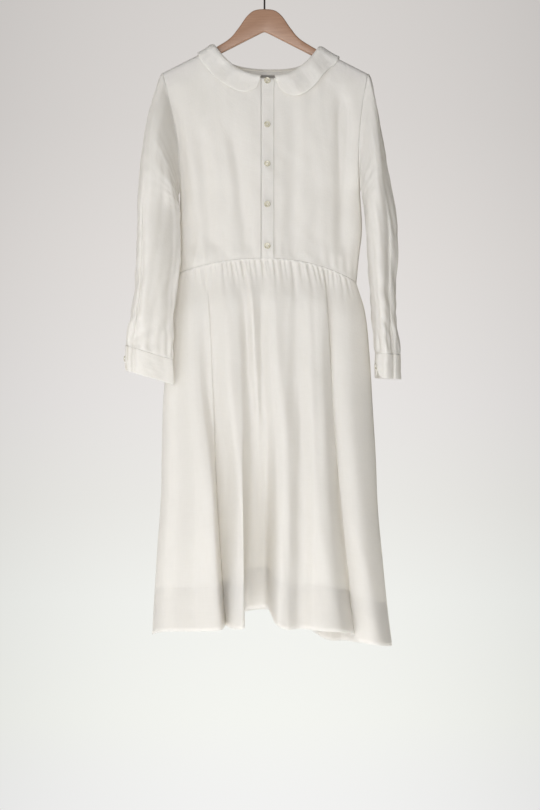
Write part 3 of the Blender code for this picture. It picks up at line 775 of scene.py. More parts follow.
    def point(self, x: Numbers, z: Numbers, face: Face, fine: bool = True) -> np.ndarray:
        """Point of the bodice's outer face.

        Args:
            x: the place across.
            z: the height.
            face: the front or the back.
            fine: whether it has its creases.

        Returns:
            The points.
        """
        depth = self.depth(x, z)
        share = self.section_share(x, z)
        crease = self.creases(x, z, face) * smooth_step(0.0, 0.35, share) if fine else 0.0
        if face is Face.BACK:
            return points(x, depth * share + crease, z)
        ease = smooth_step(0.02, 0.06, self.ridge_z(x) - z) * share
        valley = np.minimum(self.folds(x, z), depth * 0.4) * ease
        return points(x, -(depth * share - valley) - crease, z)

    def panel(
        self, u: np.ndarray, v: np.ndarray, inner_x: float, side: Side, face: Face, fall: float = 0.0008
    ) -> np.ndarray:
        """Points of one half of the front or the back.

        Args:
            u: share of the way from inner_x to the side's edge.
            v: share of the way from the top edge to the waist.
            inner_x: where the piece starts.
            side: the wearer's side.
            face: the front or the back.
            fall: how far it runs on below the waist seam.

        Returns:
            The grid of points.
        """
        x_top = mix(inner_x, side.value * self.shoulder_x, u)
        for _ in range(8):
            z_top = self.top_z(x_top, face)
            x_top = mix(inner_x, self.edge(z_top, side), u)
        x_low = mix(inner_x, self.waist_end(side), u)
        for _ in range(4):
            x_low = mix(inner_x, self.edge(self.waist_z(x_low), side), u)
        z = mix(z_top, self.waist_z(x_low) - fall, v)
        return self.point(mix(inner_x, self.edge(z, side), u), z, face)

    def unrolled(self, x: Numbers, z: Numbers, face: Face) -> np.ndarray:
        """Way from the ridge down the cloth.

        Args:
            x: the place across.
            z: the height.
            face: the front or the back.

        Returns:
            The length of cloth, negative at the front.
        """
        drop = np.maximum(self.ridge_z(x) - z, 0.0)
        radius = self.round_radius
        near = radius * np.arccos(np.clip(1 - drop / radius, -1, 1))
        return face.value * np.where(drop < radius, near, radius * pi / 2 + drop - radius)

    def rolled(self, x: Numbers, way: Numbers) -> np.ndarray:
        """Point at a way from the ridge down the cloth.

        Args:
            x: the place across.
            way: the length of cloth, negative at the front.

        Returns:
            The points.
        """
        radius = self.round_radius
        length = np.abs(way)
        side = np.where(way < 0, -1.0, 1.0)
        turn = np.minimum(length / radius, pi / 2)
        beyond = np.maximum(length - radius * pi / 2, 0.0)
        z = self.ridge_z(x) - radius * (1 - np.cos(turn)) - beyond
        return points(x, side * (radius * np.sin(turn) + self.flare * beyond), z)

    def lifted(self, x: Numbers, way: Numbers, height: Numbers) -> np.ndarray:
        """Point of the bodice moved out along its normal.

        Args:
            x: the place across.
            way: the length of cloth from the ridge, negative at the front.
            height: how far it is moved out.

        Returns:
            The points.
        """
        step = 0.002
        across = self.rolled(x + step, way) - self.rolled(x - step, way)
        down = self.rolled(x, way + step) - self.rolled(x, way - step)
        normal = np.cross(across, down)
        normal = normal / np.linalg.norm(normal, axis=-1, keepdims=True)
        return self.rolled(x, way) + normal * np.expand_dims(height, -1)

    def neck_curve(self, angle: Numbers) -> tuple[Numbers, np.ndarray]:
        """The neckline as a curve on the cloth.

        Args:
            angle: 0 at the front middle, going by the wearer's right.

        Returns:
            Its x, and its way from the ridge, negative at the front.
        """
        x = self.neck_centre - self.neck_half * np.sin(angle)
        front = self.unrolled(x, self.neck_z(x, Face.FRONT), Face.FRONT)
        back = self.unrolled(x, self.neck_z(x, Face.BACK), Face.BACK)
        return x, np.where(np.cos(angle) > 0, front, back)

    def rows_down(self, count: int) -> np.ndarray:
        """Shares of the way down, close together over the hanger's arm."""
        near = np.array([0.0, 0.0008, 0.002, 0.004, 0.007, 0.011, 0.016, 0.023])
        return np.concatenate([near, np.linspace(0.032, 1.0, count)])

    def columns_out(self, neck_share: float, count: int) -> np.ndarray:
        """Shares across from the middle, close together at the neck point.

        Args:
            neck_share: the neck point's share of the way across.
            count: how many columns there are on each side of it.

        Returns:
            The shares, rising.
        """
        inner = 1 - (1 - np.linspace(0, 1, count)) ** 1.8
        outer = mix(neck_share, 1.0, np.linspace(0, 1, count) ** 1.35)
        return np.concatenate([neck_share * inner, outer[1:]])

    def build(self) -> None:
        """Makes the fronts, the back, the band, the binding and the label."""
        down = self.rows_down(96)
        start = self.band_right
        right_share = (self.neck_half - self.neck_centre + start) / (self.shoulder_x + start)
        left_share = (self.neck_half + self.neck_centre - start) / (self.shoulder_left - start)
        u, v = grid(self.columns_out(right_share, 42), down)
        right = self.panel(u, v, start, Side.RIGHT, Face.FRONT)[:, ::-1]
        add_cloth("front_right_cloth", right, ["front_right"])
        u, v = grid(self.columns_out(left_share, 42), down)
        left = self.panel(u, v, start + 0.0006, Side.LEFT, Face.FRONT)
        add_cloth("front_left_cloth", left, ["front_left"])
        left = self.panel(*grid(self.columns_out(0.525, 36), down), self.neck_centre, Side.LEFT, Face.BACK)
        right = self.panel(*grid(self.columns_out(0.515, 36), down), self.neck_centre, Side.RIGHT, Face.BACK)
        add_cloth("back_cloth", np.concatenate([left[:, ::-1], right[:, 1:]], axis=1), ["back"])
        self.build_band()
        self.build_neck_trim()

    def build_band(self) -> None:
        """Makes the button band with its two rows of stitching."""
        u, v = grid(np.linspace(0, 1, 15), np.linspace(0, 1, 160))
        x = mix(self.band_right, self.band_left, u)
        z = mix(self.neck_z(x, Face.FRONT) - 0.0004, self.waist_z(x) + 0.0006, v)
        rise = mix(-0.0003, 0.0012, smooth_step(0.0, 0.14, u)) * smooth_step(-0.004, 0.012, v)
        pull = 0.0004 * np.sin(v * 61 + 2 * np.sin(v * 13)) * u
        spots = self.point(x, z, Face.FRONT) - points(0, rise + pull, 0)
        laid = {"held": "laid", "on": ["front_right_cloth"]}
        add_cloth("button_band_cloth", spots, ["button_band"], thick=0.0010, **laid)
        outward = normals_of(spots, False, 1)
        for name, column in (("right", 1), ("left", -2)):
            seam_line("band_stitches_" + name, spots[1:-1, column], outward[1:-1, column])

    def build_neck_trim(self) -> None:
        """Makes the binding and the plain label inside the back neck."""
        u, v = grid(np.linspace(0, 1, 90), np.linspace(0, 1, 6))
        angle = mix(pi / 2 + 0.45, 3 * pi / 2 - 0.45, u)
        x = self.neck_curve(angle)[0]
        top = np.minimum(self.neck_z(x, Face.BACK), self.ridge_z(x) - 0.012)
        z = top - 0.0015 - self.binding_height * v
        spots = self.lifted(x, self.unrolled(x, z, Face.BACK), np.full_like(x, -2 * WALL))
        laid = {"held": "laid", "on": ["back_cloth"]}
        add_cloth("neck_binding_cloth", spots, ["neck_binding"], thick=0.0012, **laid)
        u, v = grid(np.linspace(0, 1, 24), np.linspace(0, 1, 8))
        x = mix(self.label_x - self.label_half, self.label_x + self.label_half, u)
        z = self.neck_z(x, Face.BACK) - 0.0075 - self.label_height * v
        spots = self.lifted(x, self.unrolled(x, z, Face.BACK), np.full_like(x, -2 * WALL - 0.0016))
        add_cloth("neck_label_cloth", spots, ["neck_label"], thick=0.0006, finish=LABEL, slot="label", **laid)


@dataclass
class Collar:
    """The flat round collar, rolled over at the neck and rounded at its two front ends."""

    bodice: Bodice
    width: float = 0.038
    start: float = 0.115
    end: float = 2 * pi - 0.165
    end_width: float = 0.016
    # Waves across the collar: angle, half width, lift
    waves: tuple = (
        (0.40, 0.10, -0.0016),
        (0.62, 0.10, 0.0022),
        (0.86, 0.12, -0.0018),
        (1.25, 0.16, 0.0014),
        (2.40, 0.20, 0.0012),
        (3.30, 0.22, -0.0010),
        (4.10, 0.20, 0.0012),
        (4.95, 0.14, -0.0014),
        (5.35, 0.12, 0.0020),
        (5.62, 0.10, -0.0016),
        (5.88, 0.10, 0.0018),
    )
    # Rows of the roll at the neck edge: across from the neckline, height over the cloth
    roll: tuple = (
        (-0.0022, -0.0004),
        (-0.0034, 0.0020),
        (-0.0022, 0.0044),
        (0.0010, 0.0054),
        (0.0060, 0.0048),
        (0.0130, 0.0036),
        (0.0230, 0.0028),
        (0.0380, 0.0023),
    )

    def neck_frame(self, angle: Numbers) -> tuple[Numbers, np.ndarray, np.ndarray, np.ndarray]:
        """The neckline's place on the cloth, and the direction away from the neck.

        Args:
            angle: the place round the neck, 0 at the front middle.

        Returns:
            The x and way of the place, and of the direction.
        """
        x, way = self.bodice.neck_curve(angle)
        before = self.bodice.neck_curve(angle - 0.05)
        after = self.bodice.neck_curve(angle + 0.05)
        along_x, along_way = after[0] - before[0], after[1] - before[1]
        size = np.hypot(along_x, along_way)
        return x, way, -along_way / size, along_x / size

    def ends_width(self, angle: Numbers) -> np.ndarray:
        """Width of the collar, rounded at its front ends.

        Args:
            angle: the place round the neck, 0 at the front middle.

        Returns:
            The width there.
        """
        ends = np.minimum(angle - self.start, self.end - angle)
        share = np.clip(ends / 0.32, 0.0, 1.0)
        wide = self.width * (1 - 0.27 * np.exp(-((angle - 1.0) ** 4)) - 0.24 * bump(angle, 5.25, 0.42))
        return mix(self.end_width, wide, np.sqrt(1 - (1 - share) ** 2))

    def surface(self, u: np.ndarray, v: np.ndarray) -> np.ndarray:
        """Points of the collar's upper face.

        Args:
            u: share of the way along the neck.
            v: share of the way from the neck to the edge.

        Returns:
            The grid of points.
        """
        angle = mix(self.start, self.end, u)
        x, way, away_x, away_way = self.neck_frame(angle)
        steps, heights = columns(self.roll)
        index = np.arange(len(self.roll))
        across = curve_at(index, steps, v * index[-1])
        across = np.where(across > 0, across * self.ends_width(angle) / self.width, across)
        height = curve_at(index, heights, v * index[-1])
        stand = 0.005 * bump(angle, 5.55, 0.45) + 0.0015 * bump(angle, 0.6, 0.3)
        height = height + stand * smooth_step(0.25, 1.0, v)
        x = x + away_x * across
        way = way + away_way * across
        height = height + 0.0012 * bump(way, 0, 0.012) * smooth_step(0.3, 0.6, v)
        height = height + 0.0004 * crumple(x, way, 3.0, 0.012, 0.012) * smooth_step(0.3, 0.9, v)
        for middle, half, lift in self.waves:
            height = height + lift * bump(angle, middle, half) * smooth_step(0.15, 0.7, v)
        return self.bodice.lifted(x, way, height)

    def build(self) -> None:
        """Makes the collar and the stitching along its edge."""
        near = np.linspace(-0.45, 0.45, 41) * np.abs(np.linspace(-1, 1, 41)) ** 0.6
        right, left = pi / 2, 3 * pi / 2
        angles = [
            np.linspace(self.start, right - 0.46, 46),
            right + near,
            np.linspace(right + 0.47, left - 0.47, 60),
            left + near,
            np.linspace(left + 0.46, self.end, 46),
        ]
        ends = self.start + np.array([0.004, 0.010, 0.018, 0.030])
        every = np.unique(np.concatenate(angles + [ends, self.end + self.start - ends]))
        us = (every - self.start) / (self.end - self.start)
        vs = np.linspace(0, 1, 44)
        spots = self.surface(*grid(us, vs))
        add_cloth("collar_cloth", spots, ["collar"], thick=0.0012, on=["back_cloth"])
        outward = normals_of(spots, False, 1)
        row = int(len(vs) * 0.93)
        seam_line("collar_stitches", spots[row, 3:-3], outward[row, 3:-3])


@dataclass
class Skirt:
    """The gathered skirt with its deep turned-up hem."""

    bodice: Bodice
    length: float = 0.72
    lap_half: float = 0.0045
    lap_reach: float = 0.020
    lap_shift: float = 0.0085
    lap_depth: float = 0.0065
    hem_start: float = 0.88
    hem_end: float = 0.998
    # Rows: share of the way down, right edge, left edge, front depth, back depth
    level_rows: tuple = (
        (0.00, -0.166, 0.179, 0.045, 0.045),
        (0.08, -0.174, 0.196, 0.055, 0.050),
        (0.20, -0.186, 0.205, 0.064, 0.060),
        (0.34, -0.197, 0.211, 0.075, 0.070),
        (0.48, -0.200, 0.217, 0.084, 0.078),
        (0.62, -0.202, 0.221, 0.092, 0.084),
        (0.76, -0.209, 0.230, 0.098, 0.090),
        (0.90, -0.215, 0.240, 0.103, 0.094),
        (1.00, -0.219, 0.249, 0.106, 0.098),
    )
    fold_levels: tuple = (0.0, 0.20, 0.56, 1.0)
    # From the right seam to the left: x at four levels, how far out at the last three, hem's height
    front_rows: tuple = (
        (-0.1660, -0.1860, -0.2012, -0.2190, 0.000, 0.000, 0.000, -1.2930),
        (-0.1610, -0.1780, -0.1890, -0.2030, 0.000, 0.003, 0.004, -1.2830),
        (-0.1550, -0.1640, -0.1655, -0.1720, -0.001, -0.007, -0.006, -1.2800),
        (-0.1460, -0.1462, -0.1330, -0.1290, 0.005, 0.012, 0.013, -1.2755),
        (-0.1355, -0.1290, -0.1100, -0.0920, 0.001, 0.008, 0.011, -1.2720),
        (-0.1215, -0.1142, -0.0970, -0.0820, -0.010, -0.022, -0.034, -1.2661),
        (-0.1008, -0.0950, -0.0740, -0.0700, -0.007, -0.018, -0.028, -1.2651),
        (-0.0816, -0.0734, -0.0540, -0.0570, 0.006, 0.005, 0.013, -1.2696),
        (-0.0643, -0.0500, -0.0380, -0.0425, 0.001, 0.001, 0.006, -1.2640),
        (-0.0510, -0.0335, -0.0230, -0.0310, -0.009, -0.026, -0.100, -1.2480),
        (-0.0330, -0.0199, -0.0085, -0.0128, 0.002, -0.030, -0.110, -1.2440),
        (-0.0105, -0.0047, 0.0069, 0.0060, -0.009, -0.026, -0.098, -1.2420),
        (0.0055, 0.0120, 0.0240, 0.0210, 0.002, 0.002, 0.004, -1.2590),
        (0.0240, 0.0290, 0.0449, 0.0429, 0.006, 0.012, 0.014, -1.2697),
        (0.0540, 0.0606, 0.0718, 0.0697, -0.005, -0.006, -0.006, -1.2703),
        (0.0800, 0.0880, 0.0960, 0.0978, 0.004, 0.009, 0.011, -1.2720),
        (0.1010, 0.1060, 0.1173, 0.1430, 0.001, 0.006, 0.009, -1.2765),
        (0.1200, 0.1235, 0.1356, 0.1690, -0.012, -0.032, -0.054, -1.2900),
        (0.1380, 0.1400, 0.1520, 0.1920, 0.000, -0.004, -0.016, -1.3020),
        (0.1570, 0.1640, 0.1760, 0.2240, 0.005, 0.009, 0.012, -1.3080),
        (0.1790, 0.2050, 0.2190, 0.2490, 0.000, 0.000, 0.000, -1.3140),
    )
    # From the left seam to the right: share of the way round, how far out at three levels, hem's height
    back_rows: tuple = (
        (0.00, 0.000, 0.000, 0.000, -1.3140),
        (0.06, 0.002, 0.004, 0.008, -1.3150),
        (0.14, -0.004, -0.012, -0.022, -1.3170),
        (0.22, 0.004, 0.008, 0.012, -1.3180),
        (0.30, -0.002, -0.006, -0.012, -1.3140),
        (0.38, 0.004, 0.010, 0.014, -1.2900),
        (0.45, -0.005, -0.016, -0.032, -1.2640),
        (0.52, 0.003, 0.006, 0.012, -1.2570),
        (0.60, -0.002, -0.007, -0.012, -1.2590),
        (0.68, 0.004, 0.011, 0.016, -1.2720),
        (0.76, -0.005, -0.014, -0.026, -1.2820),
        (0.85, 0.004, 0.007, 0.012, -1.2870),
        (0.93, -0.001, -0.005, -0.010, -1.2930),
        (1.00, 0.000, 0.000, 0.000, -1.2930),
    )
    # Gathers: place along the seam, depth at the seam in mm, how far down it lasts
    gather_rows: tuple = (
        (-0.150, 2.2, 0.06), (-0.136, 2.6, 0.05), (-0.118, 3.4, 0.10), (-0.102, 3.2, 0.07),
        (-0.094, 2.6, 0.05), (-0.080, 3.8, 0.10), (-0.071, 2.8, 0.05), (-0.063, 3.4, 0.08),
        (-0.044, 4.0, 0.13), (-0.034, 2.0, 0.04), (-0.028, 3.0, 0.07), (-0.017, 2.6, 0.05),
        (-0.005, 3.6, 0.09), (0.007, 2.8, 0.05), (0.018, 3.2, 0.08), (0.032, 3.8, 0.06),
        (0.040, 2.8, 0.05), (0.052, 4.2, 0.12), (0.069, 3.2, 0.06), (0.085, 3.6, 0.09),
        (0.0946, 2.4, 0.05), (0.104, 3.2, 0.07), (0.115, 4.0, 0.12), (0.124, 2.6, 0.05),
        (0.134, 3.2, 0.07), (0.147, 2.8, 0.08), (0.160, 2.2, 0.05),
    )
    # Laps of the front, where the cloth on the -X side lies over: levels, the fold's x, its strength
    lap_rows: tuple = (
        ((0.0, 0.10, 0.35, 0.62, 1.0), (-0.117, -0.108, -0.100, -0.094, -0.078), (0.0, 0.5, 0.75, 1.0, 1.2)),
        ((0.0, 0.10, 0.35, 0.62, 1.0), (0.116, 0.121, 0.130, 0.150, 0.176), (0.0, 0.6, 0.9, 1.2, 1.2)),
        ((0.0, 0.45, 0.62, 1.0), (-0.046, -0.040, -0.041, -0.0405), (0.0, 0.15, 0.7, 1.3)),
    )

    def edges(self, share: Numbers) -> tuple[np.ndarray, np.ndarray]:
        """Right and left edges, from the waist seam's ends down.

        Args:
            share: share of the way down.

        Returns:
            The x of the right and of the left edge.
        """
        levels, rights, lefts = columns(self.level_rows)[:3]
        rights[0] = self.bodice.waist_end(Side.RIGHT)
        lefts[0] = self.bodice.waist_end(Side.LEFT)
        return curve_at(levels, rights, share), curve_at(levels, lefts, share)

    def section(
        self, x: np.ndarray, share: np.ndarray, waist_x: np.ndarray, face: Face
    ) -> tuple[np.ndarray, np.ndarray]:
        """Depth of the plain section, without its folds.

        Args:
            x: the place across.
            share: share of the way down.
            waist_x: where the cloth there starts on the waist seam.
            face: the front or the back.

        Returns:
            The depth, and how far x is from the middle, from 0 to 1.
        """
        levels, _, _, fronts, backs = columns(self.level_rows)
        right, left = self.edges(share)
        across = np.minimum(np.abs(x - (right + left) / 2) / ((left - right) / 2), 1.0)
        rounded = np.sqrt(np.maximum(1 - across ** 2.5, 0.0))
        low = curve_at(levels, fronts if face is Face.FRONT else backs, share) * rounded
        seam_z = self.bodice.waist_z(waist_x)
        waist = self.bodice.depth(waist_x, seam_z) * self.bodice.section_share(waist_x, seam_z)
        return mix(waist, low, smooth_step(0.0, 0.12, share)), across

    def gathers(self, waist_x: np.ndarray, down: np.ndarray) -> np.ndarray:
        """Valleys that start as nicks at the waist seam, widen and fade, each at its own length.

        Args:
            waist_x: where the cloth starts on the waist seam.
            down: distance below the seam, in metres.

        Returns:
            How far the cloth stands out, negative in the valleys.
        """
        total = 0.0004 * smooth_step(0.0, 0.03, down) * smooth_step(0.10, 0.03, down)
        for place, deep, length in self.gather_rows:
            wide = 0.0022 + 0.045 * np.clip(down, 0, 0.2)
            fade = smooth_step(length, 0.1 * length, down) * smooth_step(-0.001, 0.003, down)
            total = total - 0.001 * deep * fade * bump(waist_x - place, 0.0, wide)
        return total

    def creases(self, x: np.ndarray, z: np.ndarray, down: np.ndarray, seed: float) -> np.ndarray:
        """Fine unevenness: small puckers at the seam, and soft long creases below.

        Args:
            x: the place across.
            z: the height.
            down: distance below the seam, in metres.
            seed: a number that moves the pattern.

        Returns:
            How far the cloth stands out.
        """
        uneven = 0.6 + 0.4 * np.sin(x * 91 + seed)
        pucker = np.cos(x * 2 * pi / 0.0085 + 1.5 * np.sin(x * 63 + seed)) * uneven
        near = smooth_step(0.001, 0.006, down) * smooth_step(0.05, 0.012, down)
        long = crumple(x, z, seed, 0.016, 0.20) * smooth_step(0.02, 0.10, down)
        handled = crumple(x + 0.2 * z, z, seed + 2.0, 0.030, 0.055) * smooth_step(0.02, 0.10, down)
        return 0.0008 * pucker * near + 0.0020 * long + 0.0012 * handled

    def lapped(self, x: np.ndarray, out: np.ndarray, v: np.ndarray) -> tuple[np.ndarray, np.ndarray]:
        """Pulls the cloth into sharp laps, where a fold lies over its neighbour.

        Args:
            x: the cloth's x before the laps.
            out: how far out it stands.
            v: share of the way down.

        Returns:
            The changed x and out.
        """
        for levels, line, grow in self.lap_rows:
            middle = curve_at(levels, line, v)
            size = curve_at(levels, grow, v)
            share = (x - middle) / self.lap_half
            pull = np.tanh(share) * np.exp(-((x - middle) / self.lap_reach) ** 2)
            x = x - size * self.lap_shift * np.abs(pull) ** 0.9 * np.sign(pull)
            out = out - size * self.lap_depth * pull
        return x, out

    def front(self, u: np.ndarray, v: np.ndarray) -> np.ndarray:
        """Points of the front.

        Args:
            u: share of the way from the right seam to the left.
            v: share of the way down to the hem.

        Returns:
            The grid of points.
        """
        table = columns(self.front_rows)
        index = np.arange(len(self.front_rows))
        place = u * index[-1]
        parts = []
        for line in table[:4]:
            parts.append((curve_at(index, line, place) - line[0]) / (line[-1] - line[0]))
        outs = [np.zeros_like(u)] + [curve_at(index, line, place) for line in table[4:7]]
        right, left = self.edges(v)
        x = mix(right, left, across_levels(self.fold_levels, parts, v))
        waist_x = mix(self.bodice.waist_end(Side.RIGHT), self.bodice.waist_end(Side.LEFT), parts[0])
        z = mix(self.bodice.waist_z(waist_x), curve_at(index, table[7], place), v)
        depth, across = self.section(x, v, waist_x, Face.FRONT)
        down = v * self.length
        ripple = self.gathers(waist_x, down) * (1 - across ** 6)
        fine = self.creases(waist_x, z, down, 0.7) * (1 - across ** 6)
        out = across_levels(self.fold_levels, outs, v) * (1 - across ** 8) + ripple + fine
        x, out = self.lapped(x, out, v)
        out = out + 0.0003 * smooth_step(0.006, 0.0, v)
        return points(x, -depth - out, z)

    def back(self, u: np.ndarray, v: np.ndarray) -> np.ndarray:
        """Points of the back.

        Args:
            u: share of the way from the left seam to the right.
            v: share of the way down to the hem.

        Returns:
            The grid of points.
        """
        shares, hip, knee, hem, heights = columns(self.back_rows)
        across_share = mix(u, 0.5 - 0.5 * np.cos(pi * u), 0.35)
        right, left = self.edges(v)
        x = mix(left, right, across_share)
        waist_x = mix(self.bodice.waist_end(Side.LEFT), self.bodice.waist_end(Side.RIGHT), across_share)
        z = mix(self.bodice.waist_z(waist_x), curve_at(shares, heights, u), v)
        outs = [np.zeros_like(u)] + [curve_at(shares, values, u) for values in (hip, knee, hem)]
        depth, across = self.section(x, v, waist_x, Face.BACK)
        down = v * self.length
        ripple = self.gathers(waist_x + 0.006, down) * (1 - across ** 6)
        fine = self.creases(waist_x, z, down, 3.9) * (1 - across ** 6)
        out = across_levels(self.fold_levels, outs, v) * (1 - across ** 8) + ripple + fine
        out = out + 0.0003 * smooth_step(0.006, 0.0, v)
        return points(x, depth + out, z)

    def build(self) -> None:
        """Makes the two halves of the skirt, the turned-up hem and its stitching."""
        down = np.concatenate([np.linspace(-0.003, 0.10, 32), np.linspace(0.11, 1.0, 78)])
        halves = (
            ("front", self.front, 420, ["front_right_cloth", "front_left_cloth"]),
            ("back", self.back, 220, ["back_cloth"]),
        )
        for name, surface, wide, waist in halves:
            us = np.linspace(0, 1, wide)
            spots = surface(*grid(us, down))
            add_cloth("skirt_%s_cloth" % name, spots, ["skirt_" + name], on=waist)
            band = np.linspace(self.hem_start, self.hem_end, 14)
            inner = surface(*grid(us[2:-2], band))
            add_cloth("hem_%s_cloth" % name, inner, ["hem_" + name], lift=-WALL, held="folded",
                      on=["skirt_%s_cloth" % name])
            seam = surface(*grid(us, np.array([0.876, 0.881, 0.886])))
            seam_line("hem_stitches_" + name, seam[1, 2:-2], normals_of(seam, False, 1)[1, 2:-2])


@dataclass
class Sleeve:
    """A long sleeve on its armhole, with a buttoned cuff."""

    bodice: Bodice
    side: Side
    section_rows: tuple
    # The angles of the cuff's open end and of the front's long valley, and the front's lean
    cuff_start: float
    valley: float
    skew: float
    cuff_height: float = 0.047
    cuff_turn: float = 1.045
    cuff_rise: float = 0.0012
    cuff_lap: float = 0.0022
    seam_gap: float = 0.0006
    top_half: float = 0.024
    fold_depth: float = 0.007
    girth: float = 0.24
    length: float = 0.56
    tucks: int = 14

    @property
    def name(self) -> str:
        """The side's name."""
        return self.side.name.lower()

    def armhole(self, angle: Numbers) -> np.ndarray:
        """Points of the armhole.

        Args:
            angle: 0 at the shoulder, pi at the underarm, with the front between them.

        Returns:
            The points.
        """
        reach = 0.5 - 0.5 * np.cos(angle)
        top, low = -self.bodice.shoulder_x, self.bodice.underarm_z
        z = mix(top - self.seam_gap, low - self.seam_gap, reach)
        x = self.bodice.edge(z, self.side)
        z = np.minimum(z, self.bodice.ridge_z(x))
        front = self.bodice.point(x, z, Face.FRONT, fine=False)
        back = self.bodice.point(x, z, Face.BACK, fine=False)
        spots = np.where(np.expand_dims(np.sin(angle) >= 0, -1), front, back)
        return spots + points(self.side.value * self.seam_gap, 0, 0)

    def fold(self, angle: Numbers, v: Numbers) -> Numbers:
        """Long soft valleys in the front and the back.

        Args:
            angle: the place round the sleeve, 0 at the outer side.
            v: share of the way down.

        Returns:
            How far the valleys reach in.
        """
        grow = smooth_step(0.45, 0.68, v)
        valley = 0.7 * bump(angle, self.valley, 0.10) + 0.6 * bump(angle, self.valley, 0.3)
        valley = valley + 0.6 * bump(angle, 2.3, 0.3)
        return self.fold_depth * grow * (valley + 0.8 * bump(angle, 4.4, 0.4))

    def sections(self, v: Numbers) -> list[np.ndarray]:
        """The sleeve's section sizes.

        Args:
            v: share of the way down.

        Returns:
            Outer x and z, inner x and z, half depth and middle y.
        """
        shoulder_z, underarm_z = -self.bodice.shoulder_x, self.bodice.underarm_z
        shoulder_x = float(self.bodice.edge(np.float64(shoulder_z), self.side))
        underarm_x = float(self.bodice.edge(np.float64(underarm_z), self.side))
        top = (shoulder_x, shoulder_z, underarm_x, underarm_z, self.top_half, 0.0)
        rows = columns((top,) + self.section_rows)
        index = np.arange(len(self.section_rows) + 1)
        return [curve_at(index, column, v * index[-1]) for column in rows]

    def surface(self, u: np.ndarray, v: np.ndarray) -> np.ndarray:
        """Points of the sleeve, without its creases.

        Args:
            u: share of the way round, from the shoulder by the front.
            v: share of the way down.

        Returns:
            The grid of points.
        """
        outer_x, outer_z, inner_x, inner_z, half, middle_y = self.sections(v)
        angle = 2 * pi * u
        reach = 0.5 - 0.5 * np.cos(angle)
        x = mix(outer_x, inner_x, reach)
        z = mix(outer_z, inner_z, reach)
        front = np.maximum(np.sin(angle), 0.0)
        skewed = angle + self.skew * smooth_step(0.30, 0.62, v) * front
        y = middle_y - (half - self.fold(angle, v)) * np.sin(skewed)
        hold = 1 - smooth_step(0.0, 2.8, v * len(self.section_rows))
        free = points(x, y, z)
        return mix(free, self.armhole(angle), np.expand_dims(hold, -1))

    def creased(self, spots: np.ndarray, u: np.ndarray, v: np.ndarray) -> np.ndarray:
        """Moves the points out and in by the sleeve's creases.

        Args:
            spots: the grid of points.
            u: share of the way round.
            v: share of the way down.

        Returns:
            The changed grid of points.
        """
        around = u * self.girth
        along = v * self.length
        low = smooth_step(0.45, 1.0, v)
        long = crumple(around, along, 1.1 + self.side.value, 0.013, 0.15)
        slanted = crumple(around + 0.6 * along, along, 2.6 + self.side.value, 0.022, 0.05)
        tuck = np.cos(u * 2 * pi * self.tucks) * smooth_step(0.90, 0.985, v) * smooth_step(1.0, 0.992, v)
        height = 0.0018 * long + (0.0008 + 0.0024 * low) * slanted + 0.0009 * tuck
        height = height * smooth_step(0.0, 0.08, v) * smooth_step(1.0, 0.985, v)
        spots = spots + normals_of(spots, True, -self.side.value) * np.expand_dims(height, -1)
        tucked = smooth_step(0.008, 0.0, v)
        inwards = np.sign(spots[..., 1]) * 0.0009 * tucked
        return spots - points(self.side.value * 0.0022 * tucked, inwards, 0)

    def cuff(self, u: np.ndarray, v: np.ndarray) -> np.ndarray:
        """Points of the cuff: an open band whose ends overlap by a button's width.

        Args:
            u: share of the way along the band.
            v: share of the way down.

        Returns:
            The grid of points.
        """
        outer_x, outer_z, inner_x, inner_z, half, middle_y = self.section_rows[-1]
        turn = (self.cuff_start + 2 * pi * u * self.cuff_turn) % (2 * pi)
        reach = 0.5 - 0.5 * np.cos(turn)
        grow = 1.004 + 0.03 * v
        x = (outer_x + inner_x) / 2 - (inner_x - outer_x) / 2 * np.cos(turn) * grow
        skewed = turn + self.skew * np.maximum(np.sin(turn), 0.0)
        y = middle_y - (half - self.fold(turn, np.ones_like(v))) * np.sin(skewed) * grow
        out = points(-(inner_x - outer_x) * np.cos(turn) / half, -np.sin(turn) * 1.2, 0.0 * turn)
        out = out / np.linalg.norm(out, axis=-1, keepdims=True)
        top = mix(outer_z, inner_z, reach) + self.cuff_rise
        z = top - (self.cuff_height + self.cuff_rise) * v
        ends = smooth_step(0.06, 0.0, u) + smooth_step(0.86, 1.0, u) ** 2
        z = z + ends * smooth_step(0.3, 1.0, v) * 0.020
        around, along = u * 0.22, v * 0.05
        wavy = 0.0009 * crumple(around, along, 1.7, 0.014, 0.04)
        wavy = wavy + 0.0005 * crumple(around, along, 2.3, 0.02, 0.01)
        lap = self.cuff_lap * smooth_step(0.90, 0.955, u) + wavy * smooth_step(0.0, 0.3, v)
        return points(x, y, z) + out * np.expand_dims(lap, -1)

    def build(self) -> None:
        """Makes the sleeve, the cuff and the cuff's stitching."""
        facing = -self.side.value
        body, sleeve, cuff = (word + self.name for word in ("front_", "sleeve_", "cuff_"))
        down = np.concatenate([np.linspace(0, 0.3, 60), np.linspace(0.306, 1, 120)])
        u, v = grid(np.linspace(0, 1, 149)[:-1], down)
        spots = self.creased(self.surface(u, v), u, v)
        add_cloth(sleeve + "_cloth", spots, [sleeve], closed=True, facing=facing, on=[body + "_cloth"])
        spots = self.cuff(*grid(np.linspace(0, 1, 150), np.linspace(0, 1, 26)))
        add_cloth(cuff + "_cloth", spots, [cuff], facing=facing, on=[sleeve + "_cloth"])
        outward = normals_of(spots, False, facing)
        for name, row in (("top", 2), ("low", -3)):
            seam_line("cuff_stitches_%s_%s" % (self.name, name), spots[row, 2:-2], outward[row, 2:-2])


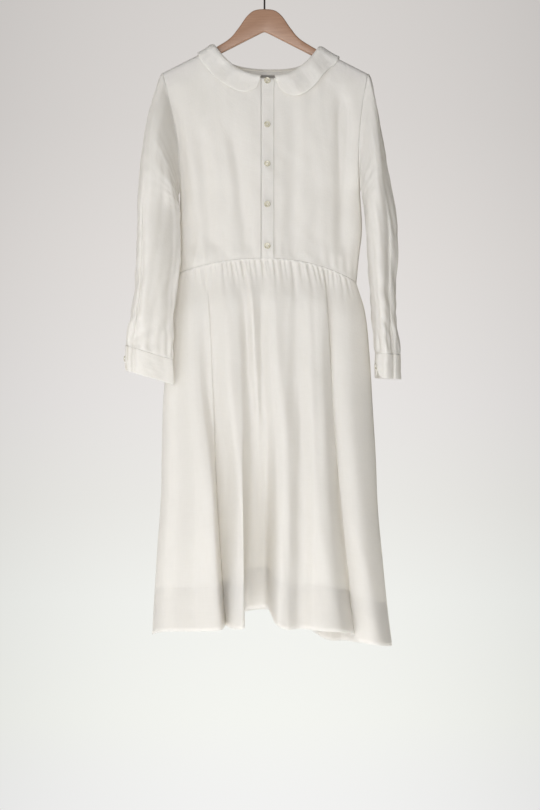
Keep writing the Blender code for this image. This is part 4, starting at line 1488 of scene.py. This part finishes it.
@dataclass
class Button:
    """A round four-hole button with a raised rim, sewn on with crossed thread."""

    radius: float = 0.0060
    thickness: float = 0.0023
    hole: float = 0.00075
    hole_place: float = 0.0016
    dish: float = 0.00055
    rim_round: float = 0.0004
    thread_half: float = 0.0002
    thread_height: float = 0.00018
    thread_apart: float = 0.00022

    def model(self) -> bpy.types.Mesh:
        """Makes the button once, at the origin and facing +Z, and pierces its four holes.

        Returns:
            Its mesh.
        """
        bpy.ops.object.select_all(action="DESELECT")
        middle = (0, 0, self.thickness / 2)
        bpy.ops.mesh.primitive_cylinder_add(
            vertices=48, radius=self.radius, depth=self.thickness, location=middle
        )
        disc = bpy.context.object
        bpy.ops.object.mode_set(mode="EDIT")
        bpy.ops.mesh.select_mode(type="FACE")
        bpy.ops.mesh.select_all(action="DESELECT")
        body = bmesh.from_edit_mesh(disc.data)
        for face in body.faces:
            face.select = face.normal.z > 0.9
        bmesh.update_edit_mesh(disc.data)
        bpy.ops.mesh.inset(thickness=self.radius * 0.16)
        bpy.ops.mesh.inset(thickness=self.radius * 0.10)
        bpy.ops.transform.translate(value=(0, 0, -self.dish))
        bpy.ops.object.mode_set(mode="OBJECT")
        bevel = disc.modifiers.new("rim", "BEVEL")
        bevel.width = self.rim_round
        bevel.segments = 3
        bevel.limit_method = "ANGLE"
        bpy.ops.object.modifier_apply(modifier=bevel.name)
        for k in range(4):
            turn = pi / 4 + k * pi / 2
            place = (cos(turn) * self.hole_place, sin(turn) * self.hole_place, self.thickness / 2)
            bpy.ops.mesh.primitive_cylinder_add(
                vertices=16, radius=self.hole, depth=self.thickness * 2, location=place
            )
            drill = bpy.context.object
            cut = disc.modifiers.new("hole", "BOOLEAN")
            cut.operation = "DIFFERENCE"
            cut.object = drill
            bpy.context.view_layer.objects.active = disc
            bpy.ops.object.modifier_apply(modifier=cut.name)
            bpy.data.objects.remove(drill, do_unlink=True)
        bpy.ops.object.select_all(action="DESELECT")
        disc.select_set(True)
        bpy.context.view_layer.objects.active = disc
        bpy.ops.object.shade_smooth_by_angle(angle=radians(35))
        mesh = disc.data.copy()
        bpy.data.objects.remove(disc, do_unlink=True)
        return mesh

    def threads(self) -> bpy.types.Mesh:
        """Two crossed stitches through the holes, as short bent bars.

        Returns:
            Their mesh.
        """
        # Along a stitch: share of the way to the hole, height over the sunk face
        path = ((-1.0, -0.0006), (-0.8, 0.0004), (0.8, 0.0004), (1.0, -0.0006))
        verts, faces = [], []
        for turn in (pi / 4, 3 * pi / 4):
            for shift in (-self.thread_apart, self.thread_apart):
                along = Vector((cos(turn), sin(turn), 0))
                beside = Vector((-along.y, along.x, 0))
                base = len(verts)
                for way, height in path:
                    middle = along * (way * self.hole_place) + beside * shift
                    middle.z = self.thickness - 0.0006 + height
                    for a, b in ((-1, 0), (0, 1), (1, 0), (0, -1)):
                        rise = Vector((0, 0, b * self.thread_height))
                        verts.append(middle + beside * (a * self.thread_half) + rise)
                for k in range(3):
                    for j in range(4):
                        low, high = base + 4 * k, base + 4 * k + 4
                        faces.append((low + j, low + (j + 1) % 4, high + (j + 1) % 4, high + j))
                faces += [(base + 3, base + 2, base + 1, base), tuple(base + 12 + j for j in range(4))]
        mesh = bpy.data.meshes.new("button_threads")
        mesh.from_pydata([tuple(v) for v in verts], [], faces)
        body = bmesh.new()
        body.from_mesh(mesh)
        bmesh.ops.recalc_face_normals(body, faces=body.faces)
        body.to_mesh(mesh)
        body.free()
        return mesh

    def build(self) -> None:
        """Puts a copy of the button and its thread on every button of the frame."""
        disc, thread = self.model(), self.threads()
        names = ["button_%d" % k for k in range(1, 6)] + ["cuff_button_right", "cuff_button_left"]
        for number, name in enumerate(names):
            centre, facing = self.seat(name)
            place = Matrix.Translation(centre) @ facing.to_track_quat("Z", "Y").to_matrix().to_4x4()
            place = place @ Matrix.Rotation(radians(17 + 41 * number), 4, "Z")
            parts = (
                ("_disc", disc, SHELL, "shell", [name]),
                ("_thread", thread, THREAD, "linen", []),
            )
            for suffix, mesh, finish, slot, nodes in parts:
                copy = mesh.copy()
                copy.transform(place)
                add_piece(name + suffix, copy, finish, slot, *nodes)

    def seat(self, name: str) -> tuple[Vector, Vector]:
        """Reads where a button sits from its solid in the frame.

        Args:
            name: the button's node.

        Returns:
            The middle of its back, and the direction that it faces.
        """
        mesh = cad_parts[name].data
        spots = np.array([vertex.co for vertex in mesh.vertices])
        centre = (spots.min(axis=0) + spots.max(axis=0)) / 2
        spread = np.linalg.svd(spots - spots.mean(axis=0), full_matrices=False)[2][2]
        outward = Vector(spread)
        if name.startswith("cuff"):
            low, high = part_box(name.replace("cuff_button", "cuff"))
            body = (Vector(low) + Vector(high)) / 2
        else:
            body = Vector((centre[0], 0.0, centre[2]))
        if outward.dot(Vector(centre) - body) < 0:
            outward.negate()
        heights = spots @ np.array(outward)
        middle = Vector(centre) - outward * (Vector(centre).dot(outward) - float(heights.min()))
        return middle, outward.normalized()


@dataclass
class Hanger:
    """The flat wooden hanger with its wire hook."""

    arm_slope: float = 0.51
    arm_top: float = 0.1015
    arm_height: float = 0.0168
    reach: float = 0.196
    half: float = 0.0055
    wire: float = 0.00175
    hook_radius: float = 0.0215
    shank_end: float = 0.0900
    shank_top: float = 0.0570
    hook_start: float = -50.0
    hook_end: float = 192.0
    edge_round: float = 0.0030
    # The top edge: distance from the middle, depth below the origin
    hump: tuple = (
        (0.0, 0.0748), (0.012, 0.0755), (0.0225, 0.0785), (0.0300, 0.0842), (0.0360, 0.0905),
        (0.0410, 0.0975), (0.0470, 0.1065), (0.0540, 0.1160), (0.0620, 0.1262), (0.0720, 0.1352),
        (0.0850, 0.1435), (0.105, 0.15505), (0.150, 0.1780), (0.188, 0.19738),
    )
    # The rounded tip, clockwise: distance in from the reach, height over the tip's top
    tip_rows: tuple = (
        (0.0045, 0.0005),
        (0.0018, -0.0012),
        (0.0002, -0.0040),
        (0.0, -0.0070),
        (0.0008, -0.0102),
        (0.0035, -0.0128),
        (0.0070, -0.0138),
    )

    def under_z(self, x: float) -> float:
        """Height of the arm's lower edge."""
        return -self.arm_top - self.arm_height - self.arm_slope * float(np.sqrt(x * x + 0.000004)) + 0.0003

    def outline(self) -> list[tuple[float, float]]:
        """The plate's outline.

        Returns:
            Its x and z, clockwise from the top middle.
        """
        xs, depths = columns(self.hump)
        across = np.concatenate([np.linspace(0, 0.105, 40), np.linspace(0.115, 0.188, 8)])
        top = [(float(x), -float(curve_at(xs, depths, x))) for x in across]
        tip_z = -self.arm_top - self.arm_slope * self.reach
        tip = [(self.reach - x, tip_z + z) for x, z in self.tip_rows]
        under = [(float(x), self.under_z(x)) for x in np.linspace(self.reach - 0.011, 0.0, 36)]
        half = top + tip + under
        return half + [(-x, z) for x, z in reversed(half[1:-1])]

    def build(self) -> None:
        """Makes the plate and the hook."""
        mesh = bpy.data.meshes.new("hanger_wood")
        outline = self.outline()
        mesh.from_pydata([(x, -self.half, z) for x, z in outline], [], [tuple(range(len(outline)))])
        plate = bpy.data.objects.new("hanger_wood", mesh)
        bpy.context.scene.collection.objects.link(plate)
        bpy.ops.object.select_all(action="DESELECT")
        plate.select_set(True)
        bpy.context.view_layer.objects.active = plate
        bpy.ops.object.mode_set(mode="EDIT")
        bpy.ops.mesh.select_all(action="SELECT")
        bpy.ops.mesh.extrude_region_move(TRANSFORM_OT_translate={"value": (0, 2 * self.half, 0)})
        bpy.ops.mesh.select_all(action="SELECT")
        bpy.ops.mesh.normals_make_consistent(inside=False)
        bpy.ops.object.mode_set(mode="OBJECT")
        bevel = plate.modifiers.new("round_edges", "BEVEL")
        bevel.width = self.edge_round
        bevel.segments = 4
        bevel.limit_method = "ANGLE"
        bevel.angle_limit = radians(50)
        bpy.ops.object.modifier_apply(modifier=bevel.name)
        bpy.ops.object.shade_smooth_by_angle(angle=radians(40))
        mesh.materials.append(WOOD)
        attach(plate, "root")
        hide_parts("hanger")
        log.info("piece %s: %d faces", plate.name, len(mesh.polygons))
        self.build_hook()

    def build_hook(self) -> None:
        """Makes the wire hook, whose shank runs down into the wood."""
        centre = Vector((0, 0, self.wire - self.hook_radius))
        join = radians(self.hook_start)
        start = Vector((0, 0, -self.shank_top))
        end = centre + Vector((cos(join), 0, sin(join))) * self.hook_radius
        first = start + Vector((0, 0, 0.011))
        second = end - Vector((-sin(join), 0, cos(join))) * 0.011
        path = [Vector((0, 0, -self.shank_end)), Vector((0, 0, -0.070))]
        for t in np.linspace(0, 1, 16)[:-1]:
            spot = start * (1 - t) ** 3 + first * 3 * t * (1 - t) ** 2
            path.append(spot + second * 3 * t * t * (1 - t) + end * t ** 3)
        for angle in np.linspace(join, radians(self.hook_end), 60):
            path.append(centre + Vector((cos(angle), 0, sin(angle))) * self.hook_radius)
        line = bpy.data.curves.new("hook_wire", "CURVE")
        line.dimensions = "3D"
        line.bevel_depth = self.wire
        line.bevel_resolution = 6
        line.use_fill_caps = True
        spline = line.splines.new("POLY")
        spline.points.add(len(path) - 1)
        for spot, point in zip(spline.points, path):
            spot.co = (*point, 1.0)
        holder = bpy.data.objects.new("hook_line", line)
        bpy.context.scene.collection.objects.link(holder)
        mesh = bpy.data.meshes.new_from_object(holder)
        bpy.data.objects.remove(holder, do_unlink=True)
        mesh.name = "hook_wire"
        mesh.polygons.foreach_set("use_smooth", np.ones(len(mesh.polygons), dtype=bool))
        add_piece("hook_wire", mesh, STEEL, "steel", "hanger_hook")


@dataclass(frozen=True)
class PaleWall:
    """A pale studio wall and floor that glow by themselves, brighter downwards and dimmer at the sides as
    painted light and shade, and are clear from behind.
    """

    name: str = "glowing_wall"
    side_dim: float = 0.25
    least_glow: float = 0.6
    floor_glow: float = 1.1
    # Shares of the way up from the floor, and the colour of the glow there: painted shade that darkens the
    # wall upwards, where less studio light falls
    levels: tuple = (
        (0.0, Colour("#F2F2F1")),
        (0.07, Colour("#F4F5F0")),
        (0.20, Colour("#F2F3EF")),
        (0.32, Colour("#ECEBE7")),
        (0.45, Colour("#E9E6E4")),
        (0.63, Colour("#E3DFDC")),
        (0.81, Colour("#DAD6D3")),
        (1.0, Colour("#D4D0CD")),
    )

    def graded(
        self,
        tree: bpy.types.NodeTree,
        along: bpy.types.NodeSocket,
        start: float,
        end: float,
        low: float,
        high: float,
    ) -> bpy.types.NodeSocket:
        """A value that goes from low to high along one direction.

        Args:
            tree: the node tree.
            along: the coordinate that it follows.
            start: where it is low.
            end: where it is high.
            low: its value at the start.
            high: its value at the end.

        Returns:
            The value's socket.
        """
        limits = {"Value": along, "From Min": start, "From Max": end, "To Min": low, "To Max": high}
        return add_node(tree, "MapRange", limits).outputs[0]

    def material(self, low: float, high: float) -> bpy.types.Material:
        """Builds the wall's glow.

        Args:
            low: the floor's height.
            high: the height up to which the glow is graded.

        Returns:
            The material.
        """
        material, tree = new_material(self.name)
        place = add_node(tree, "TexCoord").outputs["Object"]
        parts = add_node(tree, "SeparateXYZ", {0: place})
        height = self.graded(tree, parts.outputs["Z"], low, high, 0.0, 1.0)
        # The ramp paints the shade: the glow's colour darkens upwards by the levels
        ramp = add_node(tree, "ValToRGB", {"Fac": height})
        ramp.color_ramp.interpolation = "LINEAR"
        for _ in self.levels[2:]:
            ramp.color_ramp.elements.new(0.5)
        for element, (share, colour) in zip(ramp.color_ramp.elements, self.levels):
            element.position = share
            element.color = colour.linear()
        x, y = parts.outputs["X"], parts.outputs["Y"]
        # Painted light and shade in the glow's strength: it dims towards both sides, grows under and in front
        # of the dress and on the left beyond the frame, and the flag darkens it on the right as a black card
        # there would
        across = add_node(tree, "Math", {0: x, 1: x}, operation="MULTIPLY").outputs[0]
        dimmed = {0: across, 1: -self.side_dim, 2: 1.0}
        dim = add_node(tree, "Math", dimmed, operation="MULTIPLY_ADD").outputs[0]
        least = add_node(tree, "Math", {0: dim, 1: self.least_glow}, operation="MAXIMUM").outputs[0]
        floor = self.graded(tree, y, 0.5, -0.2, 0.0, self.floor_glow)
        sides = self.graded(tree, x, -0.95, -1.6, 0.0, 0.3)
        flag = self.graded(tree, x, 0.80, 1.3, 1.0, 0.15)
        more = add_node(tree, "Math", {0: floor, 1: sides}, operation="MAXIMUM").outputs[0]
        level = add_node(tree, "Math", {0: least, 1: more}, operation="ADD").outputs[0]
        glow = add_node(tree, "Math", {0: level, 1: flag}, operation="MULTIPLY").outputs[0]
        wall = {
            "Base Color": (0.0, 0.0, 0.0, 1.0),
            "Roughness": 1.0,
            "Specular IOR Level": 0.0,
            "Emission Color": ramp.outputs["Color"],
            "Emission Strength": glow,
        }
        front = add_node(tree, "BsdfPrincipled", wall).outputs[0]
        behind = add_node(tree, "NewGeometry").outputs["Backfacing"]
        clear = add_node(tree, "BsdfTransparent").outputs[0]
        both = add_node(tree, "MixShader", {0: behind, 1: front, 2: clear}).outputs[0]
        add_node(tree, "OutputMaterial", {"Surface": both})
        return material


@dataclass
class Studio:
    """Plain pale surroundings, soft light, and the camera at the photograph's angle."""

    floor_z: float = -1.78
    wall_y: float = 1.3
    half_width: float = 4.5
    corner_radius: float = 0.7
    key: float = 20.0
    fill: float = 10.5
    sky: float = 0.30
    film: float = 36.0

    def area_light(
        self, name: str, place: tuple, aim: tuple, size: float, beam: float, watts: float
    ) -> None:
        """Adds a square soft light.

        Args:
            name: the light's name.
            place: where it stands.
            aim: the point that it faces.
            size: its side.
            beam: how many degrees its beam opens.
            watts: its power.
        """
        light = bpy.data.lights.new(name, "AREA")
        light.size = size
        light.spread = radians(beam)
        light.energy = watts
        lamp = bpy.data.objects.new(name, light)
        lamp.location = place
        lamp.rotation_euler = (Vector(aim) - Vector(place)).to_track_quat("-Z", "Y").to_euler()
        bpy.context.scene.collection.objects.link(lamp)

    def build(self) -> None:
        """Makes the backdrop, the lights and the camera."""
        self.build_backdrop()
        self.area_light("key_light", (-2.2, -2.7, -0.6), (0.0, 0.0, -0.9), 1.4, 180, self.key)
        self.area_light("fill_light", (-0.3, -3.3, -0.6), (0.02, 0.0, -0.7), 1.0, 90, self.fill)
        world = bpy.data.worlds.new("studio")
        bpy.context.scene.world = world
        world.use_nodes = True
        background = world.node_tree.nodes["Background"]
        background.inputs["Color"].default_value = (1.0, 1.0, 1.0, 1.0)
        background.inputs["Strength"].default_value = self.sky
        bpy.context.scene.view_settings.view_transform = "Standard"
        self.build_camera()

    def build_backdrop(self) -> None:
        """Makes the floor and the wall, one sheet with a rounded corner."""
        radius = self.corner_radius
        profile = [(-6.0, self.floor_z)]
        for angle in np.linspace(0, pi / 2, 24):
            y = self.wall_y - radius + radius * sin(angle)
            profile.append((y, self.floor_z + radius * (1 - cos(angle))))
        profile.append((self.wall_y, 3.2))
        xs = np.linspace(-self.half_width, self.half_width, 3)
        spots = np.array([[(x, y, z) for x in xs] for y, z in profile])
        mesh, _ = cloth_mesh("backdrop", spots, False, -1)
        mesh.materials.append(PaleWall().material(self.floor_z, GLOW_TOP))
        wall = bpy.data.objects.new("backdrop", mesh)
        bpy.context.scene.collection.objects.link(wall)

    def build_camera(self) -> None:
        """Puts the camera level with the photograph's middle, so that the hook's place agrees."""
        lens = bpy.data.cameras.new("photo_camera")
        camera = bpy.data.objects.new("photo_camera", lens)
        left = (PHOTO_WIDTH / 2 - HANGING_POINT_PX[0]) * PIXEL
        height = -(PHOTO_HEIGHT / 2 - HANGING_POINT_PX[1]) * PIXEL
        camera.location = (left, -VIEW_DISTANCE, height)
        camera.rotation_euler = (pi / 2, 0, 0)
        lens.sensor_width = self.film
        lens.lens = self.film * VIEW_DISTANCE / (PHOTO_HEIGHT * PIXEL)
        lens.clip_end = 50
        bpy.context.scene.collection.objects.link(camera)
        bpy.context.scene.camera = camera


# Sleeve sections below the armhole: outer x and z, inner x and z, half depth, middle y
RIGHT_SECTIONS = (
    (-0.2080, -0.216, -0.1672, -0.4310, 0.034, -0.004),
    (-0.2185, -0.255, -0.1672, -0.4355, 0.045, -0.008),
    (-0.2280, -0.292, -0.1668, -0.4410, 0.051, -0.011),
    (-0.2345, -0.332, -0.1660, -0.4500, 0.054, -0.014),
    (-0.2400, -0.377, -0.1640, -0.4640, 0.055, -0.017),
    (-0.2440, -0.430, -0.1628, -0.4880, 0.053, -0.021),
    (-0.2462, -0.492, -0.1625, -0.5260, 0.050, -0.028),
    (-0.2474, -0.560, -0.1640, -0.5780, 0.046, -0.036),
    (-0.2500, -0.622, -0.1705, -0.6340, 0.040, -0.044),
    (-0.2580, -0.680, -0.1735, -0.6930, 0.033, -0.051),
    (-0.2650, -0.733, -0.1755, -0.7600, 0.026, -0.055),
)
LEFT_SECTIONS = (
    (0.2130, -0.222, 0.1895, -0.4310, 0.030, 0.000),
    (0.2190, -0.262, 0.1900, -0.4360, 0.040, -0.001),
    (0.2265, -0.308, 0.1910, -0.4430, 0.047, -0.002),
    (0.2340, -0.350, 0.1925, -0.4530, 0.052, -0.003),
    (0.2410, -0.394, 0.1945, -0.4680, 0.055, -0.004),
    (0.2500, -0.440, 0.1962, -0.4900, 0.056, -0.005),
    (0.2580, -0.496, 0.1985, -0.5260, 0.055, -0.006),
    (0.2590, -0.558, 0.2010, -0.5760, 0.053, -0.007),
    (0.2560, -0.620, 0.2050, -0.6300, 0.050, -0.008),
    (0.2575, -0.684, 0.2110, -0.6880, 0.046, -0.009),
    (0.2645, -0.7495, 0.2155, -0.7470, 0.041, -0.010),
)


def main() -> None:
    """Builds the dress, its hanger and the studio."""
    logging.basicConfig(level=logging.INFO, format="%(name)s %(message)s")
    Studio().build()
    Hanger().build()
    bodice = Bodice()
    bodice.build()
    Collar(bodice).build()
    Skirt(bodice).build()
    Sleeve(bodice, Side.RIGHT, RIGHT_SECTIONS, cuff_start=radians(12), valley=0.86, skew=0.6).build()
    Sleeve(bodice, Side.LEFT, LEFT_SECTIONS, cuff_start=radians(144), valley=1.2, skew=-0.35).build()
    Button().build()


if __name__ == "__main__":
    main()
